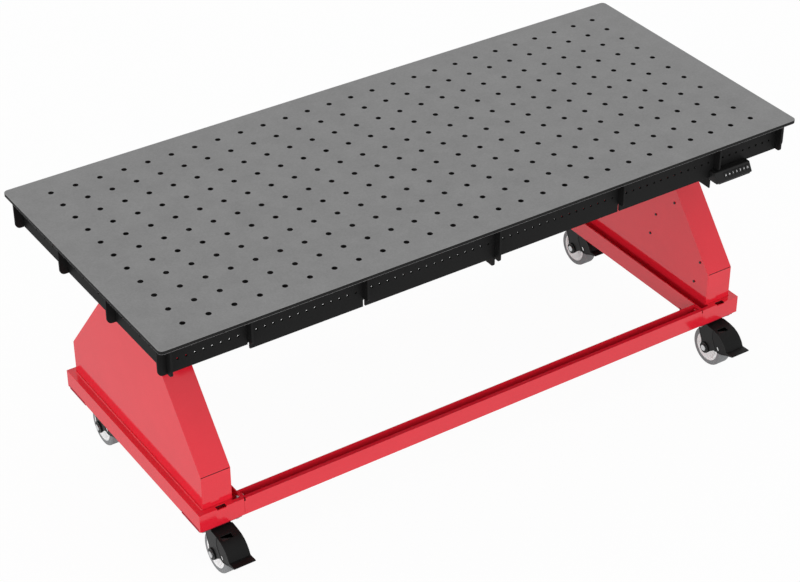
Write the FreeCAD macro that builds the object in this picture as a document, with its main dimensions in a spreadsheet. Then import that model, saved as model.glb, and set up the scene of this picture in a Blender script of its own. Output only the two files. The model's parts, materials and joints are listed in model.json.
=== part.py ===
import FreeCAD, Part
import math
import os
import re

import Sketcher
from FreeCAD import Rotation, Vector

# Height-adjustable assembly table on four braked casters.
# Frame: origin on the floor under the middle of the overall box, +X along the top, +Z up, front at -Y.
# The pieces are drawn about the middle of the top, and node() moves each into that frame.
# The table is stored at its lowest height. Sizes are in millimetres.

SIZES = {
    # Perforated top plate
    "top_height": 840,
    "plate_long": 2090,
    "plate_wide": 912,
    "plate_thick": 12,
    "plate_corner": 14,
    "hole_pitch": 75,
    "hole_dia": 16,
    "hole_edge": 80,
    # Lapped frame of rails (along X) and ribs (along Y) under the plate
    "rail_past": 28,
    "rail_thick": 6,
    "rail_deep": 92,
    "rail_mid_deep": 108,
    "rail_round": 15,
    "outer_rail": 415,
    "inner_rail": 138,
    "rib_thick": 6,
    "rib_deep": 92,
    "rib_tab": 22,
    "rib_tab_deep": 82,
    "end_tab_deep": 91,
    "mid_tab_deep": 112,
    "rib_round": 9,
    "lug_deep": 142,
    "lug_long": 44,
    "end_rib": 1008,
    "outer_rib": 775,
    "mid_rib": 425,
    "lap_gap": 0.2,
    "perf_pitch": 25,
    "perf_dia": 7,
    "perf_drop": 56,
    "perf_edge": 20,
    # Base: two end frames and two channel beams
    "base_long": 1880,
    "base_wide": 794,
    "base_deep": 56,
    "base_sheet": 4,
    "trough_deep": 24,
    "end_wide": 138,
    "lip_wide": 12,
    "slot_long": 28,
    "slot_edge": 55,
    "beam_wide": 41,
    "beam_bolts": 16,
    "seam_gap": 0.5,
    "pad_long": 108,
    "pad_thick": 6,
    # Pedestals
    "ped_edge": 22,
    "ped_wide": 90,
    "ped_half": 377,
    "ped_bend": 130,
    "ped_top_half": 124,
    "ped_sheet": 3,
    "foot_high": 22,
    "foot_inset": 2,
    "post_dia": 10,
    "screw_dia": 4,
    "screw_edge": 40,
    "screw_rise": 26,
    "screw_drop": 53,
    "screw_step": 78,
    "screw_long": 12,
    "screw_cap": 2.4,
    "screw_play": 0.3,
    # Lifting columns and cylinders
    "column_wide": 76,
    "column_deep": 160,
    "column_wall": 4,
    "column_gap": 1,
    "collar_show": 10,
    "stage_show": 40,
    "head_show": 36,
    "stage_step": 18,
    "opening_gap": 1,
    "flange_reach": 40,
    "flange_thick": 8,
    "head_long": 180,
    "head_over": 23,
    "head_thick": 10,
    "cheek_thick": 6,
    "cheek_high": 64,
    "ram_dia": 40,
    "ram_bore": 32,
    "rod_dia": 20,
    "rod_show": 64,
    "piston_gap": 2,
    "fit_gap": 0.05,
    # Drive and control units
    "unit_gap": 8,
    "tank_long": 90,
    "tank_high": 85,
    "pump_long": 22,
    "pump_wide": 48,
    "pump_high": 52,
    "motor_dia": 60,
    "motor_long": 60,
    "motor_rise": 46,
    "box_wide": 60,
    "box_long": 150,
    "box_high": 75,
    "gland_dia": 16,
    "gland_long": 15,
    # Casters
    "wheel_dia": 125,
    "tread_wide": 42,
    "caster_height": 162,
    "caster_inset": 71,
    "caster_end": 59,
    "trail": 41,
    "caster_plate": 5,
    "caster_long": 125,
    "caster_wide": 100,
    "pattern_long": 105,
    "pattern_wide": 75,
    "race_dia": 68,
    "race_high": 7,
    "swivel_gap": 0.5,
    "king_dia": 14,
    "king_head": 24,
    "king_cap": 5.5,
    "fork_wide": 61,
    "fork_dia": 76,
    "fork_sheet": 4,
    "crown_thick": 5.5,
    "crown_back": 28,
    "fork_reach": 52,
    "leg_bevel": 21,
    "leg_drop": 17.5,
    "leg_round": 17,
    "axle_dia": 12,
    "axle_head": 19,
    "axle_cap": 7,
    "axle_nut": 9,
    "axle_past": 3,
    "axle_gap": 1,
    "tread_thick": 12.5,
    "tread_round": 4,
    "boss_dia": 28,
    "web_thick": 12,
    "web_step": 4,
    "rim_thick": 5,
    "pivot_out": 41,
    "pivot_drop": 13.5,
    "pedal_wide": 67,
    "pedal_long": 88,
    "pedal_fall": 36,
    "pedal_rise": 11.5,
    "pedal_sheet": 2.5,
    "pin_dia": 6,
    "shoe_gap": 6,
    "shoe_wide": 34,
    # Control panel
    "panel_long": 132,
    "panel_past": 114,
    "panel_drop": 84,
    "panel_face": 31,
    "panel_tilt": 29,
    "panel_lip": 4,
    "panel_gap": 1,
    "key_pitch": 13.6,
    "key_wide": 9.5,
    "key_tall": 14,
    "key_gap": 0.3,
    "key_proud": 1,
    "key_deep": 5,
    "key_stop": 1.5,
    "key_edge": 0.5,
    "bracket_thick": 4,
    "bracket_gap": 3,
    "bracket_deep": 59,
    "bracket_hang": 33,
    "bracket_top": 38,
    "bracket_drop": 60,
    "bracket_edge": 17,
    # Bolts, nuts and their clearances
    "bolt_dia": 10,
    "small_bolt": 8,
    "hole_play": 0.5,
}
# A bolt's head and nut, and the thread that shows past the nut, as shares of its diameter
HEAD_WIDE = 1.6
HEAD_HIGH = 0.65
NUT_HIGH = 0.8
THREAD_PAST = 0.2
# How far a cutting tool runs past the face that it opens
PAST = 1

doc = FreeCAD.newDocument("assembly_table")
sheet = doc.addObject("Spreadsheet::Sheet", "dims")
for row, (word, value) in enumerate(SIZES.items(), 1):
    sheet.set(f"A{row}", word)
    sheet.set(f"B{row}", str(value))
    sheet.setAlias(f"B{row}", word)
doc.recompute()

nodes = []


# ---------------------------------------------------------------- helpers

def bind(text):
    """An expression on the sheet, from text that uses the sizes' plain names."""
    return re.sub(r"[a-z][a-z_0-9]*", lambda m: f"dims.{m[0]}" if m[0] in SIZES else m[0], str(text))


def value(text):
    return float(sheet.evalExpression(bind(text)))


def node(name, piece):
    """Mark a piece as one of the table's sub-parts, in the table's frame."""
    placed = copy_at(f"{name}_in_frame", piece, "0", FRAME_BACK)
    placed.Label = name
    nodes.append((name, placed))
    return piece


def place(piece, x="0", y="0", z="0"):
    for axis, text in zip("xyz", (x, y, z)):
        piece.setExpression(f".Placement.Base.{axis}", bind(text))
    return piece


def block(name, x, y, z):
    """A box; x, y and z are each a (low, high) pair."""
    box = doc.addObject("Part::Box", name)
    for side, (low, high) in zip(("Length", "Width", "Height"), (x, y, z)):
        box.setExpression(side, bind(f"({high}) - ({low})"))
    return place(box, x[0], y[0], z[0])


def rod(name, radius, along, x, y, z):
    """A cylinder along one axis, which has a (low, high) pair; the other two have a value."""
    cylinder = doc.addObject("Part::Cylinder", name)
    turns = {"x": Rotation(Vector(0, 1, 0), 90), "y": Rotation(Vector(1, 0, 0), -90), "z": Rotation()}
    cylinder.Placement.Rotation = turns[along]
    ends = {"x": x, "y": y, "z": z}[along]
    cylinder.setExpression("Radius", bind(radius))
    cylinder.setExpression("Height", bind(f"({ends[1]}) - ({ends[0]})"))
    return place(cylinder, *(side[0] if side is ends else side for side in (x, y, z)))


def fuse(name, pieces):
    union = doc.addObject("Part::MultiFuse", name)
    union.Shapes = pieces
    union.Refine = True
    return union


def cut(name, piece, tools):
    taken = tools[0] if len(tools) == 1 else group(f"{name}_tools", tools)
    rest = doc.addObject("Part::Cut", name)
    rest.Base = piece
    rest.Tool = taken
    return rest


def group(name, pieces):
    compound = doc.addObject("Part::Compound", name)
    compound.Links = pieces
    return compound


def mirror(name, piece, normal=(1, 0, 0)):
    other = doc.addObject("Part::Mirroring", name)
    other.Source = piece
    other.Normal = normal
    return other


def copy_at(name, piece, x, y, z="0"):
    return place(group(name, [piece]), x, y, z)


def body(name):
    return doc.addObject("PartDesign::Body", name)


def base_plane(owner, role):
    return next(item for item in owner.Origin.OriginFeatures if item.Role == f"{role}_Plane")


def new_sketch(owner, face, offset="0"):
    """A sketch on one of the body's own planes, moved along that plane's normal."""
    sketch = owner.newObject("Sketcher::SketchObject", f"{owner.Name}_sketch")
    sketch.AttachmentSupport = (base_plane(owner, face), "")
    sketch.MapMode = "FlatFace"
    sketch.setExpression(".AttachmentOffset.Base.z", bind(offset))
    return sketch


def pin_point(sketch, geometry, position, x, y):
    for kind, text in (("DistanceX", x), ("DistanceY", y)):
        index = sketch.addConstraint(Sketcher.Constraint(kind, -1, 1, geometry, position, value(text)))
        sketch.setExpression(f"Constraints[{index}]", bind(text))


def outline(sketch, points):
    """A closed outline. A point (x, y, r) starts an arc of radius r to the next point, whose centre
    lies to the left of the way there, or to the right when r begins with a minus sign."""
    spots = [Vector(value(point[0]), value(point[1]), 0) for point in points]
    ends = []
    for index, point in enumerate(points):
        here = spots[index]
        there = spots[(index + 1) % len(points)]
        if len(point) == 2:
            ends.append((sketch.addGeometry(Part.LineSegment(here, there), False), 1, 2))
            continue
        radius = value(point[2])
        chord = there - here
        left = Vector(-chord.y, chord.x, 0).normalize() * math.copysign(1, radius)
        rise = abs(radius) - math.sqrt(max(radius ** 2 - chord.Length ** 2 / 4, 0))
        crown = (here + there) / 2 - left * rise
        turn = (here, crown, there) if radius > 0 else (there, crown, here)
        arc = sketch.addGeometry(Part.Arc(*turn), False)
        ends.append((arc, 1, 2) if radius > 0 else (arc, 2, 1))
        limit = sketch.addConstraint(Sketcher.Constraint("Radius", arc, abs(radius)))
        sketch.setExpression(f"Constraints[{limit}]", bind(point[2].lstrip("-")))
    for index, point in enumerate(points):
        last = ends[index - 1]
        this = ends[index]
        sketch.addConstraint(Sketcher.Constraint("Coincident", last[0], last[2], this[0], this[1]))
        pin_point(sketch, this[0], this[1], point[0], point[1])


def circles(sketch, spots, radius):
    """Equal circles at spots, the first with the radius from the sheet."""
    first = None
    for x, y in spots:
        ring = Part.Circle(Vector(value(x), value(y), 0), Vector(0, 0, 1), value(radius))
        index = sketch.addGeometry(ring, False)
        pin_point(sketch, index, 3, x, y)
        if first is None:
            first = index
            limit = sketch.addConstraint(Sketcher.Constraint("Radius", index, value(radius)))
            sketch.setExpression(f"Constraints[{limit}]", bind(radius))
        else:
            sketch.addConstraint(Sketcher.Constraint("Equal", first, index))


def pad(owner, sketch, length):
    feature = owner.newObject("PartDesign::Pad", f"{owner.Name}_pad")
    feature.Profile = sketch
    feature.setExpression("Length", bind(length))
    owner.Tip = feature
    return feature


def start(face, low, high):
    """Where a pad's sketch goes, so that the pad fills low to high along the face's axis."""
    return f"-({high})" if face == "XZ" else low


def add_plate(owner, face, loops, low, high):
    sketch = new_sketch(owner, face, start(face, low, high))
    for points in loops:
        outline(sketch, points)
    return pad(owner, sketch, f"({high}) - ({low})")


def plate(name, face, points, low, high):
    """A flat plate: an outline on a plane, from low to high along that plane's axis."""
    owner = body(name)
    add_plate(owner, face, [points], low, high)
    return owner


def pocket(owner, sketch):
    feature = owner.newObject("PartDesign::Pocket", f"{owner.Name}_pocket")
    feature.Profile = sketch
    feature.Type = "ThroughAll"
    feature.SideType = "Symmetric"
    owner.Tip = feature
    return feature


def drill(owner, face, spots, radius):
    """Holes right through a body."""
    sketch = new_sketch(owner, face)
    circles(sketch, spots, radius)
    return pocket(owner, sketch)


def slot(owner, face, rectangles):
    """Rectangular cuts right through a body; each is ((low, high), (low, high)) in the face's axes."""
    sketch = new_sketch(owner, face)
    for (u0, u1), (v0, v1) in rectangles:
        outline(sketch, [(u0, v0), (u1, v0), (u1, v1), (u0, v1)])
    return pocket(owner, sketch)


def repeat(owner, feature, rows, mirror_plane=None):
    """Repeat a cut along rows of (axis, span, count), and mirror it if a plane is named."""
    pattern = owner.newObject("PartDesign::MultiTransform", f"{owner.Name}_pattern")
    pattern.Originals = [feature]
    steps = []
    for axis, span, count in rows:
        row = owner.newObject("PartDesign::LinearPattern", f"{owner.Name}_row")
        row.Direction = (feature.Profile[0], [axis])
        row.setExpression("Length", bind(span))
        row.setExpression("Occurrences", bind(count))
        steps.append(row)
    if mirror_plane:
        flip = owner.newObject("PartDesign::Mirrored", f"{owner.Name}_flip")
        flip.MirrorPlane = (base_plane(owner, mirror_plane), [""])
        steps.append(flip)
    pattern.Transformations = steps
    owner.Tip = pattern
    return pattern


def perforate(owner, face, low, high, pitch, mirror_plane):
    """A centred row of small holes between two ribs or rails, and its mirror image."""
    count = f"floor((({high}) - ({low}) - 2 * perf_edge) / ({pitch})) + 1"
    span = f"({count} - 1) * ({pitch})"
    first_spot = (f"(({low}) + ({high}) - {span}) / 2", f"{UNDER} - perf_drop")
    first = drill(owner, face, [first_spot], "perf_dia / 2")
    repeat(owner, first, [("H_Axis", span, count)], mirror_plane)


def studs(name, face, spots, steps):
    """Equal round pieces at spots, each a stack of (radius, low, high) lengths along the face's axis."""
    owner = body(name)
    owner.AllowCompound = True
    for radius, low, high in steps:
        sketch = new_sketch(owner, face, start(face, low, high))
        circles(sketch, spots, radius)
        pad(owner, sketch, f"({high}) - ({low})")
    return owner


def rings(name, face, spots, outer, inner, low, high):
    """Equal rings at spots, from low to high along the face's axis."""
    owner = body(name)
    owner.AllowCompound = True
    sketch = new_sketch(owner, face, start(face, low, high))
    circles(sketch, spots, outer)
    circles(sketch, spots, inner)
    pad(owner, sketch, f"({high}) - ({low})")
    return owner


def bolted(name, face, spots, size, low, high):
    """Bolts through sheets that lie from low to high: heads on the low side, nuts on the high side."""
    nut_top = f"{high} + {NUT_HIGH} * {size}"
    shanks = studs(f"{name}_bolts", face, spots, [
        (f"{HEAD_WIDE} * {size} / 2", f"{low} - {HEAD_HIGH} * {size}", low),
        (f"{size} / 2", low, f"{nut_top} + {THREAD_PAST} * {size}"),
    ])
    nut = (f"{HEAD_WIDE} * {size} / 2", f"{size} / 2 + fit_gap")
    nuts = rings(f"{name}_nuts", face, spots, *nut, high, nut_top)
    return [shanks, nuts]


def bolt_hole(size):
    """The radius of a clearance hole."""
    return f"({size} / 2 + hole_play)"


def hole_rods(name, radius, along, spots, span):
    """Cutting rods through a span along one axis; spots are the places across it."""
    order = {"x": lambda spot: (span, *spot), "y": lambda spot: (spot[0], span, spot[1]),
             "z": lambda spot: (*spot, span)}[along]
    return [rod(f"{name}_{number}", radius, along, *order(spot)) for number, spot in enumerate(spots)]


def through(low, high):
    """A span that runs past both faces of a sheet."""
    return (f"{low} - {PAST}", f"{high} + {PAST}")


def turned(name, points):
    """A piece turned about its own X axis, from a half profile of (x, radius) points."""
    owner = body(name)
    sketch = new_sketch(owner, "XZ")
    outline(sketch, points)
    feature = owner.newObject("PartDesign::Revolution", f"{name}_turn")
    feature.Profile = sketch
    feature.ReferenceAxis = (sketch, ["H_Axis"])
    owner.Tip = feature
    return owner


# ---------------------------------------------------------------- levels and shared places

CASTER_X = "(base_long / 2 - caster_inset)"
CASTER_Y = "(base_wide / 2 - caster_end)"
PEDAL_REACH = f"({CASTER_Y} + trail + pivot_out + pedal_long)"
FRAME_BACK = f"(({PEDAL_REACH} - plate_wide / 2) / 2)"
UNDER = "(top_height - plate_thick)"
RAIL_LOW = f"({UNDER} - rail_deep)"
LAP = f"({UNDER} - rib_deep / 2)"
BASE_LOW = "(caster_height + pad_thick)"
FLOOR_TOP = f"({BASE_LOW} + base_sheet)"
RIM = f"({BASE_LOW} + base_deep)"
DECK = f"({RIM} - trough_deep)"
DECK_LOW = f"({DECK} - base_sheet)"
COLUMN_LOW = f"({DECK} + flange_thick)"
HEAD_LOW = f"({RAIL_LOW} - head_thick)"
MID_TOP = f"({HEAD_LOW} - head_show)"
COLUMN_TOP = f"({MID_TOP} - stage_show)"
PED_LOW = f"({DECK} + foot_high)"
PED_BEND = f"({DECK} + ped_bend)"
PED_TOP = f"({COLUMN_TOP} - collar_show)"
SLOPE_HIGH = f"({PED_TOP} - {PED_BEND})"
PED_OUT = "(base_long / 2 - ped_edge)"
PED_IN = f"({PED_OUT} - ped_wide)"
COVER_IN = f"({PED_IN} + ped_sheet)"
COLUMN_X = f"({PED_OUT} - ped_wide / 2)"
SIDE = "(base_wide / 2)"
RAIL_FACE = "(outer_rail + rail_thick / 2)"
REACH = "(end_rib + rail_past)"
BRACKET_FRONT = f"(-{RAIL_FACE} + rail_thick + bracket_gap)"
BRACKET_BACK = f"({BRACKET_FRONT} + bracket_deep)"
BRACKET_BOLTS = [(y, f"({UNDER} - bracket_drop)")
                 for y in (f"({BRACKET_FRONT} + bracket_edge)", f"({BRACKET_BACK} - bracket_edge)")]
BOTH = ("", "-")

# ---------------------------------------------------------------- table plate

table = body("table_plate_body")
EDGE_X = "(plate_long / 2)"
EDGE_Y = "(plate_wide / 2)"
add_plate(table, "XY", [[
    (f"-{EDGE_X} + plate_corner", f"-{EDGE_Y}"),
    (f"{EDGE_X} - plate_corner", f"-{EDGE_Y}", "plate_corner"),
    (EDGE_X, f"-{EDGE_Y} + plate_corner"),
    (EDGE_X, f"{EDGE_Y} - plate_corner", "plate_corner"),
    (f"{EDGE_X} - plate_corner", EDGE_Y),
    (f"-{EDGE_X} + plate_corner", EDGE_Y, "plate_corner"),
    (f"-{EDGE_X}", f"{EDGE_Y} - plate_corner"),
    (f"-{EDGE_X}", f"-{EDGE_Y} + plate_corner", "plate_corner"),
]], UNDER, "top_height")
COLUMNS = "(floor((plate_long - 2 * hole_edge) / hole_pitch) + 1)"
ROWS = "(floor((plate_wide - 2 * hole_edge) / hole_pitch) + 1)"
SPAN_X = f"({COLUMNS} - 1) * hole_pitch"
SPAN_Y = f"({ROWS} - 1) * hole_pitch"
corner_hole = drill(table, "XY", [(f"-{SPAN_X} / 2", f"-{SPAN_Y} / 2")], "hole_dia / 2")
repeat(table, corner_hole, [("H_Axis", SPAN_X, COLUMNS), ("V_Axis", SPAN_Y, ROWS)])
node("table_plate", table)

# ---------------------------------------------------------------- rails, slotted from below for the ribs

RIB_PLACES = ("end_rib", "outer_rib", "mid_rib")
HALF_SLOT = "(rib_thick / 2 + lap_gap)"
BELOW = f"{UNDER} - 2 * lug_deep"


def rib_slots(owner):
    centres = ["0"] + [f"{sign}{place_name}" for place_name in RIB_PLACES for sign in BOTH]
    height = (BELOW, f"{LAP} + lap_gap")
    slot(owner, "XZ", [((f"{x} - {HALF_SLOT}", f"{x} + {HALF_SLOT}"), height) for x in centres])


def rail_end(sign):
    """The rounded lower corner at one end of a rail."""
    upper = (f"{sign}{REACH}", f"{RAIL_LOW} + rail_round")
    lower = (f"{sign}({REACH} - rail_round)", RAIL_LOW)
    return [(*upper, "rail_round"), lower] if sign else [(*lower, "rail_round"), upper]


STEP_LOW = f"{UNDER} - rail_mid_deep"
rail_top = [(REACH, UNDER), (f"-{REACH}", UNDER)]
left_step = [("-outer_rib", RAIL_LOW), ("-outer_rib", STEP_LOW)]
right_step = [("outer_rib", STEP_LOW), ("outer_rib", RAIL_LOW)]

front = plate("front_rail_body", "XZ", rail_top + rail_end("-") + left_step + right_step + rail_end(""),
              f"-{RAIL_FACE}", f"-{RAIL_FACE} + rail_thick")
rib_slots(front)
for low, high in (("0", "mid_rib"), ("mid_rib", "outer_rib"), ("outer_rib", "end_rib")):
    perforate(front, "XZ", low, high, "perf_pitch", "YZ")
node("front_rail", front)
node("rear_rail", mirror("rear_rail_body", front, (0, 1, 0)))

HEAD_BOLT_Z = f"({RAIL_LOW} + cheek_high / 2)"
HEAD_BOLTS_X = [f"({COLUMN_X} {side} head_long / 4)" for side in "-+"]
inner = plate("inner_rail_body", "XZ", rail_top + rail_end("-") + rail_end(""),
              "-inner_rail - rail_thick / 2", "-inner_rail + rail_thick / 2")
rib_slots(inner)
inner_holes = [(f"{sign}{x}", HEAD_BOLT_Z) for x in HEAD_BOLTS_X for sign in BOTH]
drill(inner, "XZ", inner_holes, bolt_hole("bolt_dia"))
node("inner_rails", group("inner_rail_pair", [inner, mirror("inner_rail_rear", inner, (0, 1, 0))]))

# ---------------------------------------------------------------- ribs, slotted from above for the rails

TAB = f"({RAIL_FACE} + rib_tab)"
RAIL_PLACES = ("outer_rail", "inner_rail")
RIB_STEP = f"({RAIL_FACE} - rail_thick - lap_gap)"


def rib_front(sign, tab_deep):
    """The step and rounded tab at one end of a rib, in order from the rib's lower edge to the tab's tip."""
    low = f"({UNDER} - {tab_deep})"
    round_low = (f"{sign}({TAB} - rib_round)", low)
    round_high = (f"{sign}{TAB}", f"{low} + rib_round")
    corner = [(*round_low, "rib_round"), round_high] if not sign else [round_low, (*round_high, "rib_round")]
    return [(f"{sign}{RIB_STEP}", low), *corner]


def rib_lug(sign):
    """A rounded lug that hangs below the rib behind an outer rail, in order from the rib's middle."""
    low = f"({UNDER} - lug_deep)"
    near = f"{RIB_STEP} - lug_long"
    spots = [(f"{sign}({near})", f"{UNDER} - rib_deep"), (f"{sign}({near})", f"{low} + rib_round"),
             (f"{sign}({near} + rib_round)", low), (f"{sign}({RIB_STEP} - rib_round)", low),
             (f"{sign}{RIB_STEP}", f"{low} + rib_round")]
    rounded = (1, 3) if not sign else (2, 4)
    return [(*spot, "rib_round") if number in rounded else spot for number, spot in enumerate(spots)]


def rib(name, x, tab_deep, lug=False):
    """A cross rib at x: it laps the four rails and its tabs stand out past the outer ones."""
    ends = []
    for sign in BOTH:
        step = rib_lug(sign) if lug else [(f"{sign}{RIB_STEP}", f"{UNDER} - rib_deep")]
        ends.append(step + rib_front(sign, tab_deep))
    rear, fore = ends[0], ends[1][::-1]
    owner = plate(name, "YZ", fore + rear + [(TAB, UNDER), (f"-{TAB}", UNDER)],
                  f"{x} - rib_thick / 2", f"{x} + rib_thick / 2")
    half = "(rail_thick / 2 + lap_gap)"
    centres = [f"{sign}{rail}" for rail in RAIL_PLACES for sign in BOTH]
    height = (f"{LAP} - lap_gap", "top_height")
    slot(owner, "YZ", [((f"{y} - {half}", f"{y} + {half}"), height) for y in centres])
    return owner


end_rib = rib("left_end_rib", "-end_rib", "end_tab_deep")
for low, high in (("0", "inner_rail"), ("inner_rail", "outer_rail")):
    perforate(end_rib, "YZ", low, high, "2 * perf_pitch", "XZ")
node("end_ribs", group("end_rib_pair", [end_rib, mirror("right_end_rib", end_rib)]))

left_ribs = [rib(f"left_{place_name}", f"-{place_name}", "rib_tab_deep") for place_name in RIB_PLACES[1:]]
drill(left_ribs[0], "YZ", BRACKET_BOLTS, bolt_hole("small_bolt"))
right_ribs = [mirror(f"right_{piece.Name}", piece) for piece in left_ribs]
node("cross_ribs", group("cross_rib_set", left_ribs + right_ribs))
node("centre_rib", rib("centre_rib_body", "0", "mid_tab_deep", lug=True))

# ---------------------------------------------------------------- end frames of the base

OUT = "(-base_long / 2)"
IN = f"({OUT} + end_wide)"
PATTERN = [(f"{sx}pattern_long / 2", f"{sy}pattern_wide / 2") for sx in BOTH for sy in BOTH]
CORNERS = {
    "front_left": (f"-{CASTER_X}", f"-{CASTER_Y}"),
    "front_right": (CASTER_X, f"-{CASTER_Y}"),
    "rear_left": (f"-{CASTER_X}", CASTER_Y),
    "rear_right": (CASTER_X, CASTER_Y),
}
CASTER_BOLTS = {
    corner: [(f"{x} + {px}", f"{y} + {py}") for px, py in PATTERN]
    for corner, (x, y) in CORNERS.items()
}
FLANGE_HALF = "(column_deep / 2 + flange_reach)"
FLANGE_BOLTS = [(f"-{COLUMN_X} {side} column_wide / 4", f"{sign}({FLANGE_HALF} - flange_reach / 2)")
                for side in "+-" for sign in BOTH]
BEAM_BOLTS = [(f"{sign}({SIDE} - beam_wide / 2 {side} beam_bolts / 2)", f"({RIM} - trough_deep / 2)")
              for sign in BOTH for side in "+-"]


def end_walls():
    inside = (f"{OUT} + base_sheet", f"{IN} - base_sheet")
    length = (f"-{SIDE}", SIDE)
    between = (f"-{SIDE} + base_sheet", f"{SIDE} - base_sheet")
    height = (BASE_LOW, RIM)
    foot_x = (f"-{PED_OUT} + foot_inset", f"-{PED_IN} - foot_inset")
    foot_y = "(ped_half - foot_inset)"
    foot_z = (DECK, PED_LOW)
    walls = [
        block("end_floor", (OUT, IN), length, (BASE_LOW, FLOOR_TOP)),
        block("end_outer_wall", (OUT, f"{OUT} + base_sheet"), length, height),
        block("end_inner_wall", (f"{IN} - base_sheet", IN), length, height),
        block("end_deck", inside, between, (DECK_LOW, DECK)),
        block("foot_outer", (foot_x[0], f"{foot_x[0]} + ped_sheet"), (f"-{foot_y}", foot_y), foot_z),
        block("foot_inner", (f"{foot_x[1]} - ped_sheet", foot_x[1]), (f"-{foot_y}", foot_y), foot_z),
    ]

    def across(sign, reach, depth):
        """A (low, high) pair that runs in by depth from the front or rear at reach."""
        ends = (f"{sign}{reach}", f"{sign}({reach} - {depth})")
        return ends if sign else ends[::-1]

    for side, sign in (("front", "-"), ("rear", "")):
        walls += [
            block(f"end_{side}_wall", (OUT, IN), across(sign, SIDE, "base_sheet"), height),
            block(f"end_{side}_lip", (OUT, IN), across(sign, SIDE, "lip_wide"), (f"{RIM} - base_sheet", RIM)),
            block(f"{side}_pad", (OUT, IN), across(sign, SIDE, "pad_long"), ("caster_height", BASE_LOW)),
            block(f"foot_{side}", foot_x, across(sign, foot_y, "ped_sheet"), foot_z),
        ]
    return walls


def end_cuts():
    caster_spots = CASTER_BOLTS["front_left"] + CASTER_BOLTS["rear_left"]
    large = bolt_hole("bolt_dia")
    small = bolt_hole("small_bolt")
    cuts = hole_rods("caster_hole", large, "z", caster_spots, through("caster_height", FLOOR_TOP))
    cuts += hole_rods("flange_hole", large, "z", FLANGE_BOLTS, through(DECK_LOW, DECK))
    cuts += hole_rods("beam_hole", small, "x", BEAM_BOLTS, through(f"{IN} - base_sheet", IN))
    slot_x = (f"{OUT} + slot_edge", f"{OUT} + slot_edge + slot_long")
    slot_y = through(f"-{SIDE}", f"-{SIDE} + lip_wide")
    front_slot = block("front_slot", slot_x, slot_y, through(f"{RIM} - base_sheet", RIM))
    return [*cuts, front_slot, mirror("rear_slot", front_slot, (0, 1, 0))]


left_end = cut("left_end_frame_body", fuse("end_walls", end_walls()), end_cuts())
node("left_end_frame", left_end)
node("right_end_frame", mirror("right_end_frame_body", left_end))

# ---------------------------------------------------------------- channel beams

BEAM_END = "(base_long / 2 - end_wide - seam_gap)"
beam_x = (f"-{BEAM_END}", BEAM_END)
beam_y = (f"-{SIDE}", f"-{SIDE} + beam_wide")
beam_z = (BASE_LOW, RIM)
left_web = (f"-{BEAM_END}", f"-{BEAM_END} + base_sheet")
right_web = (f"{BEAM_END} - base_sheet", BEAM_END)
beam_walls = [
    block("beam_floor", beam_x, beam_y, (BASE_LOW, FLOOR_TOP)),
    block("beam_front", beam_x, (beam_y[0], f"{beam_y[0]} + base_sheet"), beam_z),
    block("beam_back", beam_x, (f"{beam_y[1]} - base_sheet", beam_y[1]), beam_z),
    block("beam_lip", beam_x, (beam_y[0], f"{beam_y[0]} + lip_wide"), (f"{RIM} - base_sheet", RIM)),
    block("beam_left_end", left_web, beam_y, beam_z),
    block("beam_right_end", right_web, beam_y, beam_z),
]
beam_holes = []
for side, web in (("left", left_web), ("right", right_web)):
    beam_holes += hole_rods(f"beam_{side}_hole", bolt_hole("small_bolt"), "x", BEAM_BOLTS[2:], through(*web))
front_beam = cut("front_beam_body", fuse("beam_walls", beam_walls), beam_holes)
node("front_beam", front_beam)
node("rear_beam", mirror("rear_beam_body", front_beam, (0, 1, 0)))

# ---------------------------------------------------------------- pedestals

PED_SPREAD = "(ped_half - ped_top_half)"


def ped_outline(inset, low):
    """The pedestal seen from the side, drawn in by an inset, from its lower edge at low."""
    slope = f"(sqrt({PED_SPREAD} ^ 2 + {SLOPE_HIGH} ^ 2))"
    bend = f"({PED_BEND} - {inset} * ({slope} - {SLOPE_HIGH}) / {PED_SPREAD})"
    crown = f"(ped_top_half - {inset} * ({slope} - {PED_SPREAD}) / {SLOPE_HIGH})"
    side = f"(ped_half - {inset})"
    points = [(side, low), (side, bend), (crown, f"{PED_TOP} - {inset}")]
    return [(f"-{y}", z) for y, z in points] + [(y, z) for y, z in reversed(points)]


# The cover's screws: two by the foot, two by the column and one halfway up the slope, on each side
SCREW_SLOPE = 0.54
near_column = f"({PED_BEND} + 0.25 * screw_rise)"
on_slope = f"(ped_half - {SCREW_SLOPE} * {PED_SPREAD} - screw_edge)"
SCREWS = [(f"{sign}{y}", z) for sign in BOTH for y, z in (
    ("(ped_half - 1.5 * screw_edge)", f"({PED_BEND} - screw_drop)"),
    ("(ped_half - screw_edge)", f"({PED_BEND} + screw_rise)"),
    ("(column_deep / 2 + screw_edge / 2)", near_column),
    ("(column_deep / 2 + screw_edge)", f"({near_column} + screw_step)"),
    (on_slope, f"({PED_BEND} + {SCREW_SLOPE} * {SLOPE_HIGH})"),
)]
SCREW_TIP = f"({COVER_IN} + screw_long)"

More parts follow.
